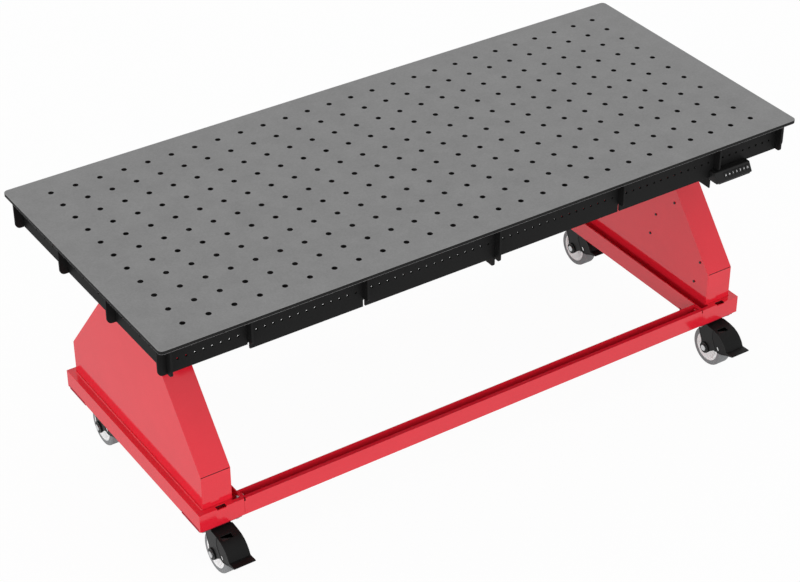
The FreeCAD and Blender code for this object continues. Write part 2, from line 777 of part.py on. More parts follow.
shell_tray = plate("shell_tray", "YZ", ped_outline("0", PED_LOW), f"-{PED_OUT}", f"-{COVER_IN}")
hollow = plate("shell_hollow", "YZ", ped_outline("ped_sheet", DECK),
               f"-{PED_OUT} + ped_sheet", f"-{COVER_IN} + {PAST}")
post = ("post_dia / 2", f"-{PED_OUT} + ped_sheet / 2", f"-{COVER_IN}")
post_hole = ("screw_dia / 2 + fit_gap", f"-{SCREW_TIP} - {PAST}", f"-{COVER_IN} + {PAST}")
shell_posts = studs("shell_posts", "YZ", SCREWS, [post])
post_holes = studs("post_holes", "YZ", SCREWS, [post_hole])
column_opening = block(
    "column_opening",
    (f"-{COLUMN_X} - column_wide / 2 - opening_gap", f"-{COVER_IN} + {PAST}"),
    ("-column_deep / 2 - opening_gap", "column_deep / 2 + opening_gap"),
    (f"{PED_TOP} - 2 * ped_sheet", f"{PED_TOP} + {PAST}"),
)
shell = cut("left_shell", fuse("shell_with_posts", [cut("shell_walls", shell_tray, [hollow]), shell_posts]),
            [post_holes, column_opening])
node("left_pedestal_shell", shell)
node("right_pedestal_shell", mirror("right_shell", shell))

cover = plate("left_cover", "YZ", ped_outline("0", PED_LOW), f"-{COVER_IN}", f"-{PED_IN}")
drill(cover, "YZ", SCREWS, "screw_dia / 2 + screw_play")
node("left_pedestal_cover", cover)
node("right_pedestal_cover", mirror("right_cover", cover))

screws = studs("left_cover_screws", "YZ", SCREWS, [
    ("screw_dia / 2", f"-{SCREW_TIP}", f"-{PED_IN}"),
    ("screw_dia", f"-{PED_IN}", f"-{PED_IN} + screw_cap"),
])
node("cover_screws", group("cover_screw_set", [screws, mirror("right_cover_screws", screws)]))

# ---------------------------------------------------------------- telescopic lifting columns


def tube(name, stage, low, high):
    """One rectangular stage of a column; each stage is one wall and gap inside the last."""
    taper = f"{stage} * (column_wall + column_gap)"
    owner = body(name)
    loops = []
    for wall in ("0", "column_wall"):
        half_x = f"(column_wide / 2 - {taper} - {wall})"
        half_y = f"(column_deep / 2 - {taper} - {wall})"
        corners = (("-", "-"), ("+", "-"), ("+", "+"), ("-", "+"))
        loops.append([(f"-{COLUMN_X} {sx} {half_x}", f"0 {sy} {half_y}") for sx, sy in corners])
    add_plate(owner, "XY", loops, low, high)
    return owner


flange = block(
    "column_flange",
    (f"-{COLUMN_X} - column_wide / 2", f"-{COLUMN_X} + column_wide / 2"),
    (f"-{FLANGE_HALF}", FLANGE_HALF),
    (DECK, COLUMN_LOW),
)
outer_column = cut(
    "left_outer",
    fuse("outer_with_flange", [tube("outer_tube", 0, COLUMN_LOW, COLUMN_TOP), flange]),
    hole_rods("column_hole", bolt_hole("bolt_dia"), "z", FLANGE_BOLTS, through(DECK, COLUMN_LOW)),
)
node("left_column_outer", outer_column)
node("right_column_outer", mirror("right_outer", outer_column))

# The middle stage stands on the flange while the table is down.
mid_column = tube("left_mid", 1, COLUMN_LOW, MID_TOP)
node("left_column_mid", mid_column)
node("right_column_mid", mirror("right_mid", mid_column))

inner_column = tube("left_inner", 2, f"{COLUMN_LOW} + stage_step", HEAD_LOW)
node("left_column_inner", inner_column)
node("right_column_inner", mirror("right_inner", inner_column))

CHEEK_Y = "(inner_rail - rail_thick / 2)"
head_x = (f"-{COLUMN_X} - head_long / 2", f"-{COLUMN_X} + head_long / 2")
front_cheek = block("front_cheek", head_x, (f"-{CHEEK_Y}", f"-{CHEEK_Y} + cheek_thick"),
                    (f"{HEAD_LOW} + head_thick / 2", f"{RAIL_LOW} + cheek_high"))
head_parts = [
    block("head_plate", head_x, (f"-{CHEEK_Y} - head_over", f"{CHEEK_Y} + head_over"), (HEAD_LOW, RAIL_LOW)),
    front_cheek,
    mirror("rear_cheek", front_cheek, (0, 1, 0)),
]
HEAD_BOLTS = [(f"-{x}", HEAD_BOLT_Z) for x in HEAD_BOLTS_X]
head_holes = hole_rods("head_hole", bolt_hole("bolt_dia"), "y", HEAD_BOLTS, through(f"-{CHEEK_Y}", CHEEK_Y))
column_head = cut("left_head", fuse("head_parts", head_parts), head_holes)
node("column_heads", group("head_pair", [column_head, mirror("right_head", column_head)]))

# Hydraulic cylinders stand in the columns; each rod lifts a head plate. The travel is what is left
# of the cylinder between its bottom and its gland once the piston and its gaps are taken off.
RAM_TOP = f"({HEAD_LOW} - rod_show)"
GLAND = "rod_dia"
RAM_FLOOR = f"({COLUMN_LOW} + rod_dia / 2)"
PISTON_LOW = f"({RAM_FLOOR} + piston_gap)"
PISTON_TOP = f"({PISTON_LOW} + rod_dia)"
LIFT_TRAVEL = f"({RAM_TOP} - {GLAND} - piston_gap - {PISTON_TOP})"
ram_at = (f"-{COLUMN_X}", "0")
barrel = rod("barrel", "ram_dia / 2", "z", *ram_at, (COLUMN_LOW, RAM_TOP))
bore = rod("barrel_bore", "ram_bore / 2", "z", *ram_at, (RAM_FLOOR, f"{RAM_TOP} - {GLAND}"))
gland = rod("gland_bore", "rod_dia / 2 + fit_gap", "z", *ram_at, through(f"{RAM_TOP} - {GLAND}", RAM_TOP))
ram = cut("left_ram", barrel, [bore, gland])
node("lift_cylinders", group("ram_pair", [ram, mirror("right_ram", ram)]))

piston = rod("piston", "ram_bore / 2 - fit_gap", "z", *ram_at, (PISTON_LOW, PISTON_TOP))
shaft = rod("piston_rod", "rod_dia / 2", "z", *ram_at, (PISTON_LOW, HEAD_LOW))
lift_rod = fuse("left_lift_rod", [piston, shaft])
node("lift_rods", group("lift_rod_pair", [lift_rod, mirror("right_lift_rod", lift_rod)]))

# ---------------------------------------------------------------- drive and control inside the pedestals

UNIT_NEAR = f"({FLANGE_HALF} + unit_gap)"
UNIT_HALF = "(ped_wide / 2 - ped_sheet - unit_gap)"
TANK_END = f"({UNIT_NEAR} + tank_long)"
PUMP_END = f"({TANK_END} + pump_long)"
MOTOR_Z = f"({DECK} + motor_rise)"
BOX_END = f"({UNIT_NEAR} + box_long)"


def about(centre, size):
    """A (low, high) pair of a size about a centre."""
    return (f"{centre} - {size} / 2", f"{centre} + {size} / 2")


tank_x = about(COLUMN_X, f"(2 * {UNIT_HALF})")
power_parts = [
    block("oil_tank", tank_x, (UNIT_NEAR, TANK_END), (DECK, f"{DECK} + tank_high")),
    block("pump_block", about(COLUMN_X, "pump_wide"), (TANK_END, PUMP_END), about(MOTOR_Z, "pump_high")),
    rod("pump_motor", "motor_dia / 2", "y", COLUMN_X, (PUMP_END, f"{PUMP_END} + motor_long"), MOTOR_Z),
]
node("power_unit", group("power_unit_set", power_parts))
box_x = about(f"-{COLUMN_X}", "box_wide")
gland_y = (f"{BOX_END} - {PAST}", f"{BOX_END} + gland_long")
control_box = block("control_box", box_x, (UNIT_NEAR, BOX_END), (DECK, f"{DECK} + box_high"))
control_gland = rod("control_gland", "gland_dia / 2", "y", f"-{COLUMN_X}", gland_y, f"{DECK} + box_high / 2")
node("control_unit", fuse("control_box_and_gland", [control_box, control_gland]))

# ---------------------------------------------------------------- bolts of the base

beam_joint = (f"{IN} - base_sheet", f"(-{BEAM_END} + base_sheet)")
left_bolts = bolted("beam", "YZ", BEAM_BOLTS, "small_bolt", *beam_joint)
left_bolts += bolted("column", "XY", FLANGE_BOLTS, "bolt_dia", DECK_LOW, COLUMN_LOW)
right_bolts = [mirror(f"right_{piece.Name}", piece) for piece in left_bolts]
node("base_bolts", group("base_bolt_set", left_bolts + right_bolts))

# ---------------------------------------------------------------- casters, each about its own swivel axis

RACE_TOP = "(caster_height - caster_plate)"
RACE_LOW = f"({RACE_TOP} - race_high)"
FORK_TOP = f"({RACE_LOW} - swivel_gap)"
CROWN_LOW = f"({FORK_TOP} - crown_thick)"
KING_LOW = f"({CROWN_LOW} - swivel_gap)"
WHEEL_Z = "(wheel_dia / 2)"
LEG_OUT = "(fork_wide / 2)"
LEG_IN = f"({LEG_OUT} - fork_sheet)"

swivel_parts = [
    block("top_plate", about("0", "caster_long"), about("0", "caster_wide"), (RACE_TOP, "caster_height")),
    rod("swivel_race", "race_dia / 2", "z", "0", "0", (RACE_LOW, RACE_TOP)),
    rod("kingpin", "king_dia / 2", "z", "0", "0", (KING_LOW, RACE_TOP)),
    rod("kingpin_head", "king_head / 2", "z", "0", "0", (f"{KING_LOW} - king_cap", KING_LOW)),
]
plate_holes = hole_rods("plate_hole", bolt_hole("bolt_dia"), "z", PATTERN, through(RACE_TOP, "caster_height"))
swivel_plate = cut("swivel_plate", fuse("swivel_parts", swivel_parts), plate_holes)
swivel_plates = [copy_at(f"{corner}_plate", swivel_plate, *spot) for corner, spot in CORNERS.items()]
node("caster_top_plates", group("caster_plate_set", swivel_plates))
node("caster_bolts", group("caster_bolt_set", bolted(
    "caster", "XY", sum(CASTER_BOLTS.values(), []), "bolt_dia", RACE_TOP, FLOOR_TOP)))

FORK_BACK = "(-trail - fork_reach)"
CROWN_FRONT = f"({FORK_BACK} + leg_bevel)"
LEG_TILT = "28"
leg_outline = [
    ("crown_back", FORK_TOP),
    (CROWN_FRONT, FORK_TOP),
    (FORK_BACK, f"{FORK_TOP} - leg_drop"),
    (FORK_BACK, "wheel_dia"),
    (f"-trail - leg_round * cos({LEG_TILT})", f"{WHEEL_Z} - leg_round * sin({LEG_TILT})", "leg_round"),
    (f"-trail + leg_round * cos({LEG_TILT})", f"{WHEEL_Z} - leg_round * sin({LEG_TILT})"),
    ("crown_back", f"{FORK_TOP} - leg_drop"),
]
PIVOT_Y = "(-trail - pivot_out)"
PIVOT_Z = f"({FORK_TOP} - pivot_drop)"
left_leg = plate("left_leg", "YZ", leg_outline, f"-{LEG_OUT}", f"-{LEG_IN}")
drill(left_leg, "YZ", [("-trail", WHEEL_Z)], "axle_dia / 2")
drill(left_leg, "YZ", [(PIVOT_Y, PIVOT_Z)], "pin_dia / 2 + fit_gap")
crown = block("fork_crown", (f"-{LEG_OUT}", LEG_OUT), (CROWN_FRONT, "crown_back"), (CROWN_LOW, FORK_TOP))
fork_disc = rod("fork_disc", "fork_dia / 2", "z", "0", "0", (CROWN_LOW, FORK_TOP))
king_bore = rod("king_bore", "king_dia / 2 + fit_gap", "z", "0", "0", through(CROWN_LOW, FORK_TOP))
fork_parts = [left_leg, mirror("right_leg", left_leg), crown, fork_disc]
fork = cut("caster_fork", fuse("fork_parts", fork_parts), [king_bore])

AXLE = "axle_dia / 2"
CAP_X = f"-{LEG_OUT} - axle_cap"
NUT_X = f"{LEG_OUT} + axle_nut"
axle_bolt = turned("axle_bolt", [
    (CAP_X, "0"), (CAP_X, "axle_head / 2"), (f"-{LEG_OUT}", "axle_head / 2"), (f"-{LEG_OUT}", AXLE),
    (f"{NUT_X} + axle_past", AXLE), (f"{NUT_X} + axle_past", "0"),
])
axle_nut = turned("axle_nut_ring", [
    (LEG_OUT, f"{AXLE} + fit_gap"), (LEG_OUT, "axle_head / 2"),
    (NUT_X, "axle_head / 2"), (NUT_X, f"{AXLE} + fit_gap"),
])


def both_ways(half):
    """A half profile and its mirror image, as one outline."""
    return half + [(f"-({x})", radius) for x, radius in reversed(half)]


TYRE_IN = f"({WHEEL_Z} - tread_thick)"
HALF_TREAD = "(tread_wide / 2)"
BOSS = f"({LEG_IN} - axle_gap)"
RIM_X = f"({HALF_TREAD} - tread_round / 2)"
tyre_ring = turned("tyre_ring", both_ways([
    (f"{HALF_TREAD} - tread_round", WHEEL_Z), (HALF_TREAD, f"{WHEEL_Z} - tread_round"),
    (HALF_TREAD, f"{TYRE_IN} + tread_round / 2"), (RIM_X, TYRE_IN),
]))
hub_disc = turned("hub_disc", both_ways([
    (RIM_X, TYRE_IN), (RIM_X, f"{TYRE_IN} - rim_thick"),
    ("web_thick / 2", f"{TYRE_IN} - rim_thick - web_step / 2"),
    ("web_thick / 2 + web_step / 2", "boss_dia / 2 + web_step"),
    (BOSS, "boss_dia / 2"), (BOSS, f"{AXLE} + fit_gap"),
]))
axle, tyre, hub = (
    place(group(f"caster_{name}", pieces), "0", "-trail", WHEEL_Z)
    for name, pieces in (("axle", [axle_bolt, axle_nut]), ("tyre", [tyre_ring]), ("hub", [hub_disc]))
)

# Brake pedal: a bent shield over the wheel, cheeks on a cross pin, and a shoe near the tread
PEDAL_OUT = "(pedal_wide / 2)"
shield_top = [
    (f"{PIVOT_Y} + pedal_sheet", f"{PIVOT_Z} + pedal_rise"),
    (f"{PIVOT_Y} - 0.43 * pedal_long", f"{PIVOT_Z} + 0.35 * pedal_rise"),
    (f"{PIVOT_Y} - 0.72 * pedal_long", f"{PIVOT_Z} - 0.7 * pedal_fall"),
    (f"{PIVOT_Y} - pedal_long", f"{PIVOT_Z} - pedal_fall"),
]
shield_low = [(y, f"{z} - pedal_sheet") for y, z in reversed(shield_top)]
cheek_top = [(y, f"{z} - pedal_sheet / 2") for y, z in shield_top[:3]]
cheek_low = [
    (f"{PIVOT_Y} - 0.57 * pedal_long", f"{PIVOT_Z} - 0.83 * pedal_fall"),
    (f"{PIVOT_Y} - 0.3 * pedal_long", f"{PIVOT_Z} - 0.33 * pedal_fall"),
    (f"{PIVOT_Y} - pin_dia", f"{PIVOT_Z} - pin_dia"),
    (f"{PIVOT_Y} + pin_dia", f"{PIVOT_Z} - pin_dia"),
]
SHOE_RADIUS = f"({WHEEL_Z} + shoe_gap)"
knee_y, knee_z = shield_top[1]
shoe_outline = [
    (knee_y, f"{knee_z} - pedal_sheet / 2"),
    (f"{knee_y} - 2 * pedal_sheet", f"{knee_z} - 3 * pedal_sheet"),
]
for angle in (35, 42):
    shoe_y = f"-trail - {SHOE_RADIUS} * cos({angle})"
    shoe_outline.append((shoe_y, f"{WHEEL_Z} + {SHOE_RADIUS} * sin({angle})"))
left_cheek = plate("left_pedal_cheek", "YZ", cheek_top + cheek_low, f"-{PEDAL_OUT}", f"-{PEDAL_OUT} + pedal_sheet")
pedal = fuse("caster_pedal", [
    plate("pedal_shield", "YZ", shield_top + shield_low, f"-{PEDAL_OUT}", PEDAL_OUT),
    left_cheek,
    mirror("right_pedal_cheek", left_cheek),
    plate("pedal_shoe", "YZ", shoe_outline, "-shoe_wide / 2", "shoe_wide / 2"),
    rod("pedal_pin", "pin_dia / 2", "x", (f"-{PEDAL_OUT}", PEDAL_OUT), PIVOT_Y, PIVOT_Z),
])

for corner, spot in CORNERS.items():
    for part_name, piece in (("fork", fork), ("pedal", pedal), ("axle", axle), ("tyre", tyre), ("hub", hub)):
        node(f"{corner}_{part_name}", copy_at(f"{corner}_{part_name}_copy", piece, *spot))

# ---------------------------------------------------------------- control panel and its bracket

PANEL_END = "(outer_rib + panel_past)"
PANEL_START = f"({PANEL_END} - panel_long)"
PANEL_BACK = f"(-{RAIL_FACE} - panel_gap)"
FACE_TOP_Z = f"({UNDER} - panel_drop)"
FACE_LOW_Y = f"(-{TAB} - panel_face * sin(panel_tilt))"
FACE_LOW_Z = f"({FACE_TOP_Z} - panel_face * cos(panel_tilt))"
PANEL_LOW = f"({FACE_LOW_Z} - panel_lip)"
SHELF_LOW = f"({PANEL_LOW} - bracket_thick)"
KEYS = ("up", "down", "one", "two", "three", "four", "store")


def on_face(name, x, depth, along):
    """A box square to the panel's face: depth runs inward from it, along runs up it."""
    box = doc.addObject("Part::Box", name)
    box.Placement.Rotation = Rotation(Vector(-1, 0, 0), SIZES["panel_tilt"])
    box.setExpression(".Placement.Rotation.Angle", bind("panel_tilt"))
    for side, (low, high) in zip(("Length", "Width", "Height"), (x, depth, along)):
        box.setExpression(side, bind(f"({high}) - ({low})"))
    y = f"{FACE_LOW_Y} + ({depth[0]}) * cos(panel_tilt) + ({along[0]}) * sin(panel_tilt)"
    z = f"{FACE_LOW_Z} - ({depth[0]}) * sin(panel_tilt) + ({along[0]}) * cos(panel_tilt)"
    return place(box, x[0], y, z)


housing_block = plate("housing_block", "YZ", [
    (f"-{TAB}", FACE_TOP_Z), (FACE_LOW_Y, FACE_LOW_Z), (f"{FACE_LOW_Y} + panel_lip / 2", PANEL_LOW),
    (PANEL_BACK, PANEL_LOW), (PANEL_BACK, FACE_TOP_Z),
], PANEL_START, PANEL_END)
panel_cuts = []
for number, name in enumerate(KEYS, -len(KEYS)):
    centre = f"({PANEL_END} + {number} * key_pitch + key_edge)"
    cap = (about(centre, "key_wide"), ("-key_proud", "key_deep"), about("(panel_face / 2)", "key_tall"))
    pocket_x = about(centre, "(key_wide + 2 * key_gap)")
    pocket_along = about("(panel_face / 2)", "(key_tall + 2 * key_gap)")
    node(f"key_{name}", on_face(f"key_{name}_cap", *cap))
    panel_cuts.append(on_face(f"pocket_{name}", pocket_x, (f"-{PAST}", "key_deep + key_stop"), pocket_along))
PANEL_SCREWS = [(f"{PANEL_START} + {share} * panel_long", f"({PANEL_BACK} - 2 * screw_dia)")
                for share in (0.25, 0.85)]
screw_span = (f"{PANEL_LOW} - {PAST}", f"{PANEL_LOW} + screw_long")
panel_cuts += hole_rods("panel_screw_hole", "screw_dia / 2 + fit_gap", "z", PANEL_SCREWS, screw_span)
node("panel_housing", cut("housing", housing_block, panel_cuts))

WEB_X = "(outer_rib - rib_thick / 2 - bracket_thick)"
WEB_END = f"({WEB_X} + bracket_thick)"
web_z = (f"{SHELF_LOW} - bracket_hang", f"{UNDER} - bracket_top")
shelf_x = (WEB_X, f"{PANEL_END} - bracket_thick")
shelf_y = (f"{FACE_LOW_Y} + bracket_thick", BRACKET_BACK)
bracket_parts = [
    block("bracket_web", (WEB_X, WEB_END), (BRACKET_FRONT, BRACKET_BACK), web_z),
    block("bracket_shelf", shelf_x, shelf_y, (SHELF_LOW, PANEL_LOW)),
]
shelf_hole = "screw_dia / 2 + screw_play"
bracket_cuts = hole_rods("bracket_hole", bolt_hole("small_bolt"), "x", BRACKET_BOLTS, through(WEB_X, WEB_END))
bracket_cuts += hole_rods("shelf_hole", shelf_hole, "z", PANEL_SCREWS, through(SHELF_LOW, PANEL_LOW))
node("panel_bracket", cut("bracket", fuse("bracket_plates", bracket_parts), bracket_cuts))

# ---------------------------------------------------------------- bolts of the top

head_joint = ("(-inner_rail - rail_thick / 2)", f"(-{CHEEK_Y} + cheek_thick)")
head_pair = bolted("head", "XZ", HEAD_BOLTS, "bolt_dia", *head_joint)
left_heads = head_pair + [mirror(f"rear_{piece.Name}", piece, (0, 1, 0)) for piece in head_pair]
right_heads = [mirror(f"right_{piece.Name}", piece) for piece in left_heads]
bracket_pair = bolted("bracket", "YZ", BRACKET_BOLTS, "small_bolt", WEB_X, f"({WEB_END} + rib_thick)")
panel_screws = studs("panel_screws", "XY", PANEL_SCREWS, [
    ("screw_dia", f"{SHELF_LOW} - screw_cap", SHELF_LOW),
    ("screw_dia / 2", SHELF_LOW, f"{PANEL_LOW} + screw_long - {PAST}"),
])
node("frame_bolts", group("frame_bolt_set", [*left_heads, *right_heads, *bracket_pair, panel_screws]))

# ---------------------------------------------------------------- check and write out

doc.recompute()
for item in doc.Objects:
    if "Invalid" in item.State or "Error" in item.State:
        raise RuntimeError(f"{item.Name} did not compute: {item.State}")
for name, piece in nodes:
    if piece.Shape.isNull() or not piece.Shape.isValid() or not piece.Shape.Solids:
        raise RuntimeError(f"{name} has no valid solid")
os.makedirs("parts", exist_ok=True)
for name, piece in nodes:
    piece.Shape.exportStep(f"parts/{name}.step")
    print(f"{name}: {len(piece.Shape.Solids)} solids, {piece.Shape.Volume / 1000:.1f} cm3")
print(len(nodes), "sub-parts; the table lifts by", value(LIFT_TRAVEL), "mm")
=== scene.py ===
# %% [markdown]
# # A height-adjustable assembly table
# The CAD model gives every solid of the table at its real size. This lesson
# dresses it: it eases the folded sheets, models the casters, the welds and
# the control panel in more detail, and gives each finish its material.
# Everything is in metres, in the same frame as the CAD: the floor is z = 0,
# +X runs along the top towards the control panel, and the front is -Y.

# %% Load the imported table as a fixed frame
import json
import math

import bpy
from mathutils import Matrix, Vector


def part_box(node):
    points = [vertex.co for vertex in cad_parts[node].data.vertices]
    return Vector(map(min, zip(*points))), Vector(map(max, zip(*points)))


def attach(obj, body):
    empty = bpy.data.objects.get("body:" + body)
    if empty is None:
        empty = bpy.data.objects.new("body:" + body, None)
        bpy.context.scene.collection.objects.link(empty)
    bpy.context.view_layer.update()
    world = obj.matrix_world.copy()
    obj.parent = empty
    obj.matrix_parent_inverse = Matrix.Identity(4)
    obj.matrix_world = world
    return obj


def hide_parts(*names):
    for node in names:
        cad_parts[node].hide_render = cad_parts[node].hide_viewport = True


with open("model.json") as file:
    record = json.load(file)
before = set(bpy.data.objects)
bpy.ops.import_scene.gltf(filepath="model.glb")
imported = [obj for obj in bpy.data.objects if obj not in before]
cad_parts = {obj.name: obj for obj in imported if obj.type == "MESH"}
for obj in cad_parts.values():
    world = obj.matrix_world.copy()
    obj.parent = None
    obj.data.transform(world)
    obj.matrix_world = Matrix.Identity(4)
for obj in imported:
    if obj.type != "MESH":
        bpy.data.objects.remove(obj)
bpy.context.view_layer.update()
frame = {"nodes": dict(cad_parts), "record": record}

MM = 0.001
plate_low, plate_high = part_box("table_plate")
MIDDLE = (plate_low.y + plate_high.y) / 2
print("the top's middle line is at y =", round(MIDDLE, 4))

# %% [markdown]
# ## Camera
# A long lens from the front left, above the table top, keeps the long edges
# nearly parallel. Azimuth is measured round the table and elevation above
# the horizon, so the camera's turn follows from these two angles alone.

# %% Camera at the viewing angle
AZIMUTH, ELEVATION = math.radians(-33.69), math.radians(34.106)
camera_data = bpy.data.cameras.new("camera")
camera_data.lens = 96.95
camera_data.shift_x = -0.0135
camera_data.clip_end = 100
camera = bpy.data.objects.new("camera", camera_data)
camera.location = (-2.9177, MIDDLE - 4.3783, 3.9363)
camera.rotation_euler = (math.pi / 2 - ELEVATION, 0, AZIMUTH)
bpy.context.scene.collection.objects.link(camera)
bpy.context.scene.camera = camera
bpy.context.scene.view_settings.view_transform = "Standard"
print("camera at", tuple(round(v, 3) for v in camera.location))

# %% [markdown]
# ## Selecting by hand, in code
# An operator acts on all that is selected. So each step starts by picking
# one piece alone, and then its faces or edges by where they are or which
# way they look. These helpers are the "clicks" of the lesson. A test gets a
# face's middle and its normal, or the two ends of an edge.

# %% Pick pieces, faces and edges
def pick(piece):
    if bpy.context.object and bpy.context.object.mode != "OBJECT":
        bpy.ops.object.mode_set(mode="OBJECT")
    bpy.ops.object.select_all(action="DESELECT")
    piece.select_set(True)
    bpy.context.view_layer.objects.active = piece
    return piece


def edit(piece, mode="FACE", action="DESELECT"):
    pick(piece)
    bpy.ops.object.mode_set(mode="EDIT")
    bpy.ops.mesh.select_mode(type=mode)
    bpy.ops.mesh.select_all(action=action)


def done():
    bpy.ops.object.mode_set(mode="OBJECT")


def faces(piece, test):
    edit(piece)
    done()
    for face in piece.data.polygons:
        face.select = bool(test(face.center, face.normal))
    bpy.ops.object.mode_set(mode="EDIT")


def edges(piece, test):
    edit(piece, "EDGE")
    done()
    for edge in piece.data.edges:
        ends = [piece.data.vertices[index].co for index in edge.vertices]
        edge.select = bool(test(*ends))
    bpy.ops.object.mode_set(mode="EDIT")


def modify(piece, kind, **settings):
    pick(piece)
    modifier = piece.modifiers.new(kind.lower(), kind)
    for key, value in settings.items():
        setattr(modifier, key, value)
    bpy.ops.object.modifier_apply(modifier=modifier.name)
    return piece


print("selection helpers ready")

# %% [markdown]
# ### Rounding edges without bent shades
# A Bevel modifier rounds every edge that turns by more than a given angle.
# Smooth shading would then bend the shade across a large flat face beside a
# narrow bevel, so a Weighted Normal modifier lets the large faces set the
# normals.

# %% Ease the edges of a piece
SMOOTH_BELOW = math.radians(35)


def ease(piece, width, segments=2, degrees=30):
    modify(piece, "BEVEL", width=width, segments=segments, limit_method="ANGLE",
           angle_limit=math.radians(degrees), use_clamp_overlap=False)
    bpy.ops.object.shade_smooth_by_angle(angle=SMOOTH_BELOW)
    return modify(piece, "WEIGHTED_NORMAL", mode="FACE_AREA", weight=80,
                  keep_sharp=True)


print("edges smooth below", round(math.degrees(SMOOTH_BELOW)), "degrees")

# %% [markdown]
# ## Materials
# Every finish is a small set of nodes on Object coordinates, which are real
# metres here, so a noise scale of 400 gives grains of about 2.5 mm. One
# helper makes the cloudy and the fine noise that colour, roughness and bump
# share, and each finish then sets its own amounts. Numbers that are the same
# all over a surface go straight onto the shader's own sockets.

# %% A helper for all finishes
def finish(name, dark, light, roughness=(0.4, 0.5), grain=900.0, cloud=9.0,
           clouds=0.35, bump=0.1, stretch=(1, 1, 1), **sockets):
    material = bpy.data.materials.new(name)
    material.use_nodes = True
    tree = material.node_tree
    shader = tree.nodes["Principled BSDF"]

    def node(kind, inputs, **links):
        new = tree.nodes.new("ShaderNode" + kind)
        for socket, value in inputs.items():
            new.inputs[socket].default_value = value
        for socket, source in links.items():
            tree.links.new(source, new.inputs[socket.replace("_", " ")])
        return new

    place = tree.nodes.new("ShaderNodeTexCoord").outputs["Object"]
    place = node("Mapping", {"Scale": stretch}, Vector=place).outputs["Vector"]
    coarse = node("TexNoise", {"Scale": cloud, "Detail": 5.0}, Vector=place)
    fine = node("TexNoise", {"Scale": grain, "Detail": 3.0}, Vector=place)
    both = node("Mix", {"Factor": 1 - clouds}, A=coarse.outputs["Fac"],
                B=fine.outputs["Fac"])
    ramp = node("ValToRGB", {}, Fac=both.outputs["Result"])
    for stop, at, colour in zip(ramp.color_ramp.elements, (0.3, 0.7), (dark, light)):
        stop.position, stop.color = at, (*colour, 1)
    rough = node("MapRange", {"To Min": roughness[0], "To Max": roughness[1]},
                 Value=coarse.outputs["Fac"])
    relief = node("Bump", {"Strength": bump, "Distance": 0.2 * MM},
                  Height=fine.outputs["Fac"])
    tree.links.new(ramp.outputs["Color"], shader.inputs["Base Color"])
    tree.links.new(rough.outputs["Result"], shader.inputs["Roughness"])
    tree.links.new(relief.outputs["Normal"], shader.inputs["Normal"])
    for socket, value in sockets.items():
        shader.inputs[socket.replace("_", " ")].default_value = value
    return material


def grey(level, tint=0.0):
    return (level, level + tint, level + 2 * tint)


print("finish helper ready")

# %% [markdown]
# ### The finishes of this table
# The red powder coat is a thin, glossy plastic skin: a saturated colour under
# a clear mirror image of whatever white or dark thing stands in front of it.
# The top is a dull grey steel with cloudy mottling. Black parts keep a low
# specular level, or they would look grey.

# %% The finishes
FINISHES = {
    "red_paint": finish("red powder coat", (0.66, 0.011, 0.025), (0.76, 0.016, 0.034),
                        roughness=(0.08, 0.13), grain=700, bump=0.02),
    "black_paint": finish("black powder coat", grey(0.005), grey(0.010),
                          roughness=(0.5, 0.6), grain=800, bump=0.15,
                          Specular_IOR_Level=0.1),
    "plate_steel": finish("dull grey plate", grey(0.195), grey(0.255),
                          roughness=(0.5, 0.62), grain=210, cloud=16, clouds=0.5,
                          bump=0.06, Metallic=0.2, Specular_IOR_Level=0.3),
    "column_steel": finish("satin column tube", grey(0.08), grey(0.12),
                           roughness=(0.34, 0.42), grain=500, stretch=(1, 1, 0.05),
                           Metallic=0.4),
    "bright_steel": finish("ground bar", grey(0.6), grey(0.7), roughness=(0.14, 0.22),
                           grain=900, stretch=(1, 1, 0.2), Metallic=1.0),
    "zinc_steel": finish("zinc plated steel", grey(0.48, 0.005), grey(0.62, 0.006),
                         roughness=(0.26, 0.4), grain=500, Metallic=0.9),
    "black_steel": finish("blacked steel", grey(0.012), grey(0.028),
                          roughness=(0.34, 0.46), grain=700, Metallic=0.5),
    "caster_black": finish("black pressed steel", grey(0.006), grey(0.012),
                           roughness=(0.34, 0.46), grain=600, Specular_IOR_Level=0.14),
    "pedal_black": finish("black moulded nylon", grey(0.005), grey(0.009),
                          roughness=(0.36, 0.48), grain=1400, bump=0.1,
                          Specular_IOR_Level=0.12),
    "tread_grey": finish("grey rubber", grey(0.19, 0.006), grey(0.25, 0.006),
                         roughness=(0.6, 0.72), grain=1100, bump=0.2,
                         Specular_IOR_Level=0.3),
    "hub_plastic": finish("pale moulded hub", grey(0.82), grey(0.87),
                          roughness=(0.36, 0.46), grain=900),
    "panel_plastic": finish("black moulded case", grey(0.007), grey(0.012),
                            roughness=(0.4, 0.52), grain=1600, bump=0.25,
                            Specular_IOR_Level=0.2),
    "key_plastic": finish("black keycap", grey(0.012), grey(0.018),
                          roughness=(0.4, 0.5), grain=1800, bump=0.2,
                          Specular_IOR_Level=0.25),
    "unit_steel": finish("grey painted case", grey(0.19, 0.005), grey(0.23, 0.006),
                         roughness=(0.4, 0.5), grain=700),
}
# Near-black painted shade for cut faces: the walls of the top's holes, notches, slits
# and grooves, where shade falls.
CUT_SHADE_BLACK = finish("black painted shade in cuts", grey(0.006), grey(0.012),
                  roughness=(0.5, 0.6), grain=500, Specular_IOR_Level=0.12)
PRINT_WHITE = finish("white print", grey(0.74), grey(0.8), grain=2000, bump=0.05)
print("finishes:", ", ".join(sorted(FINISHES)))

# %% [markdown]
# ### Dressing a piece
# A piece names the record's slot that its finish stands for, the body that
# carries it, and the CAD node that it replaces, if any. A second finish on
# some faces of a piece goes on a slot of its own. The CAD nodes that stay
# visible get their finish on their own material slots.

# %% Dress, ride and replace
NODE_SLOT = {row["node"]: row["material_slot"] for row in frame["record"]["subparts"]}
BODIES = frame["record"]["behaviour"]["bodies"]
NODE_BODY = {node: body for body, nodes in BODIES.items() for node in nodes}


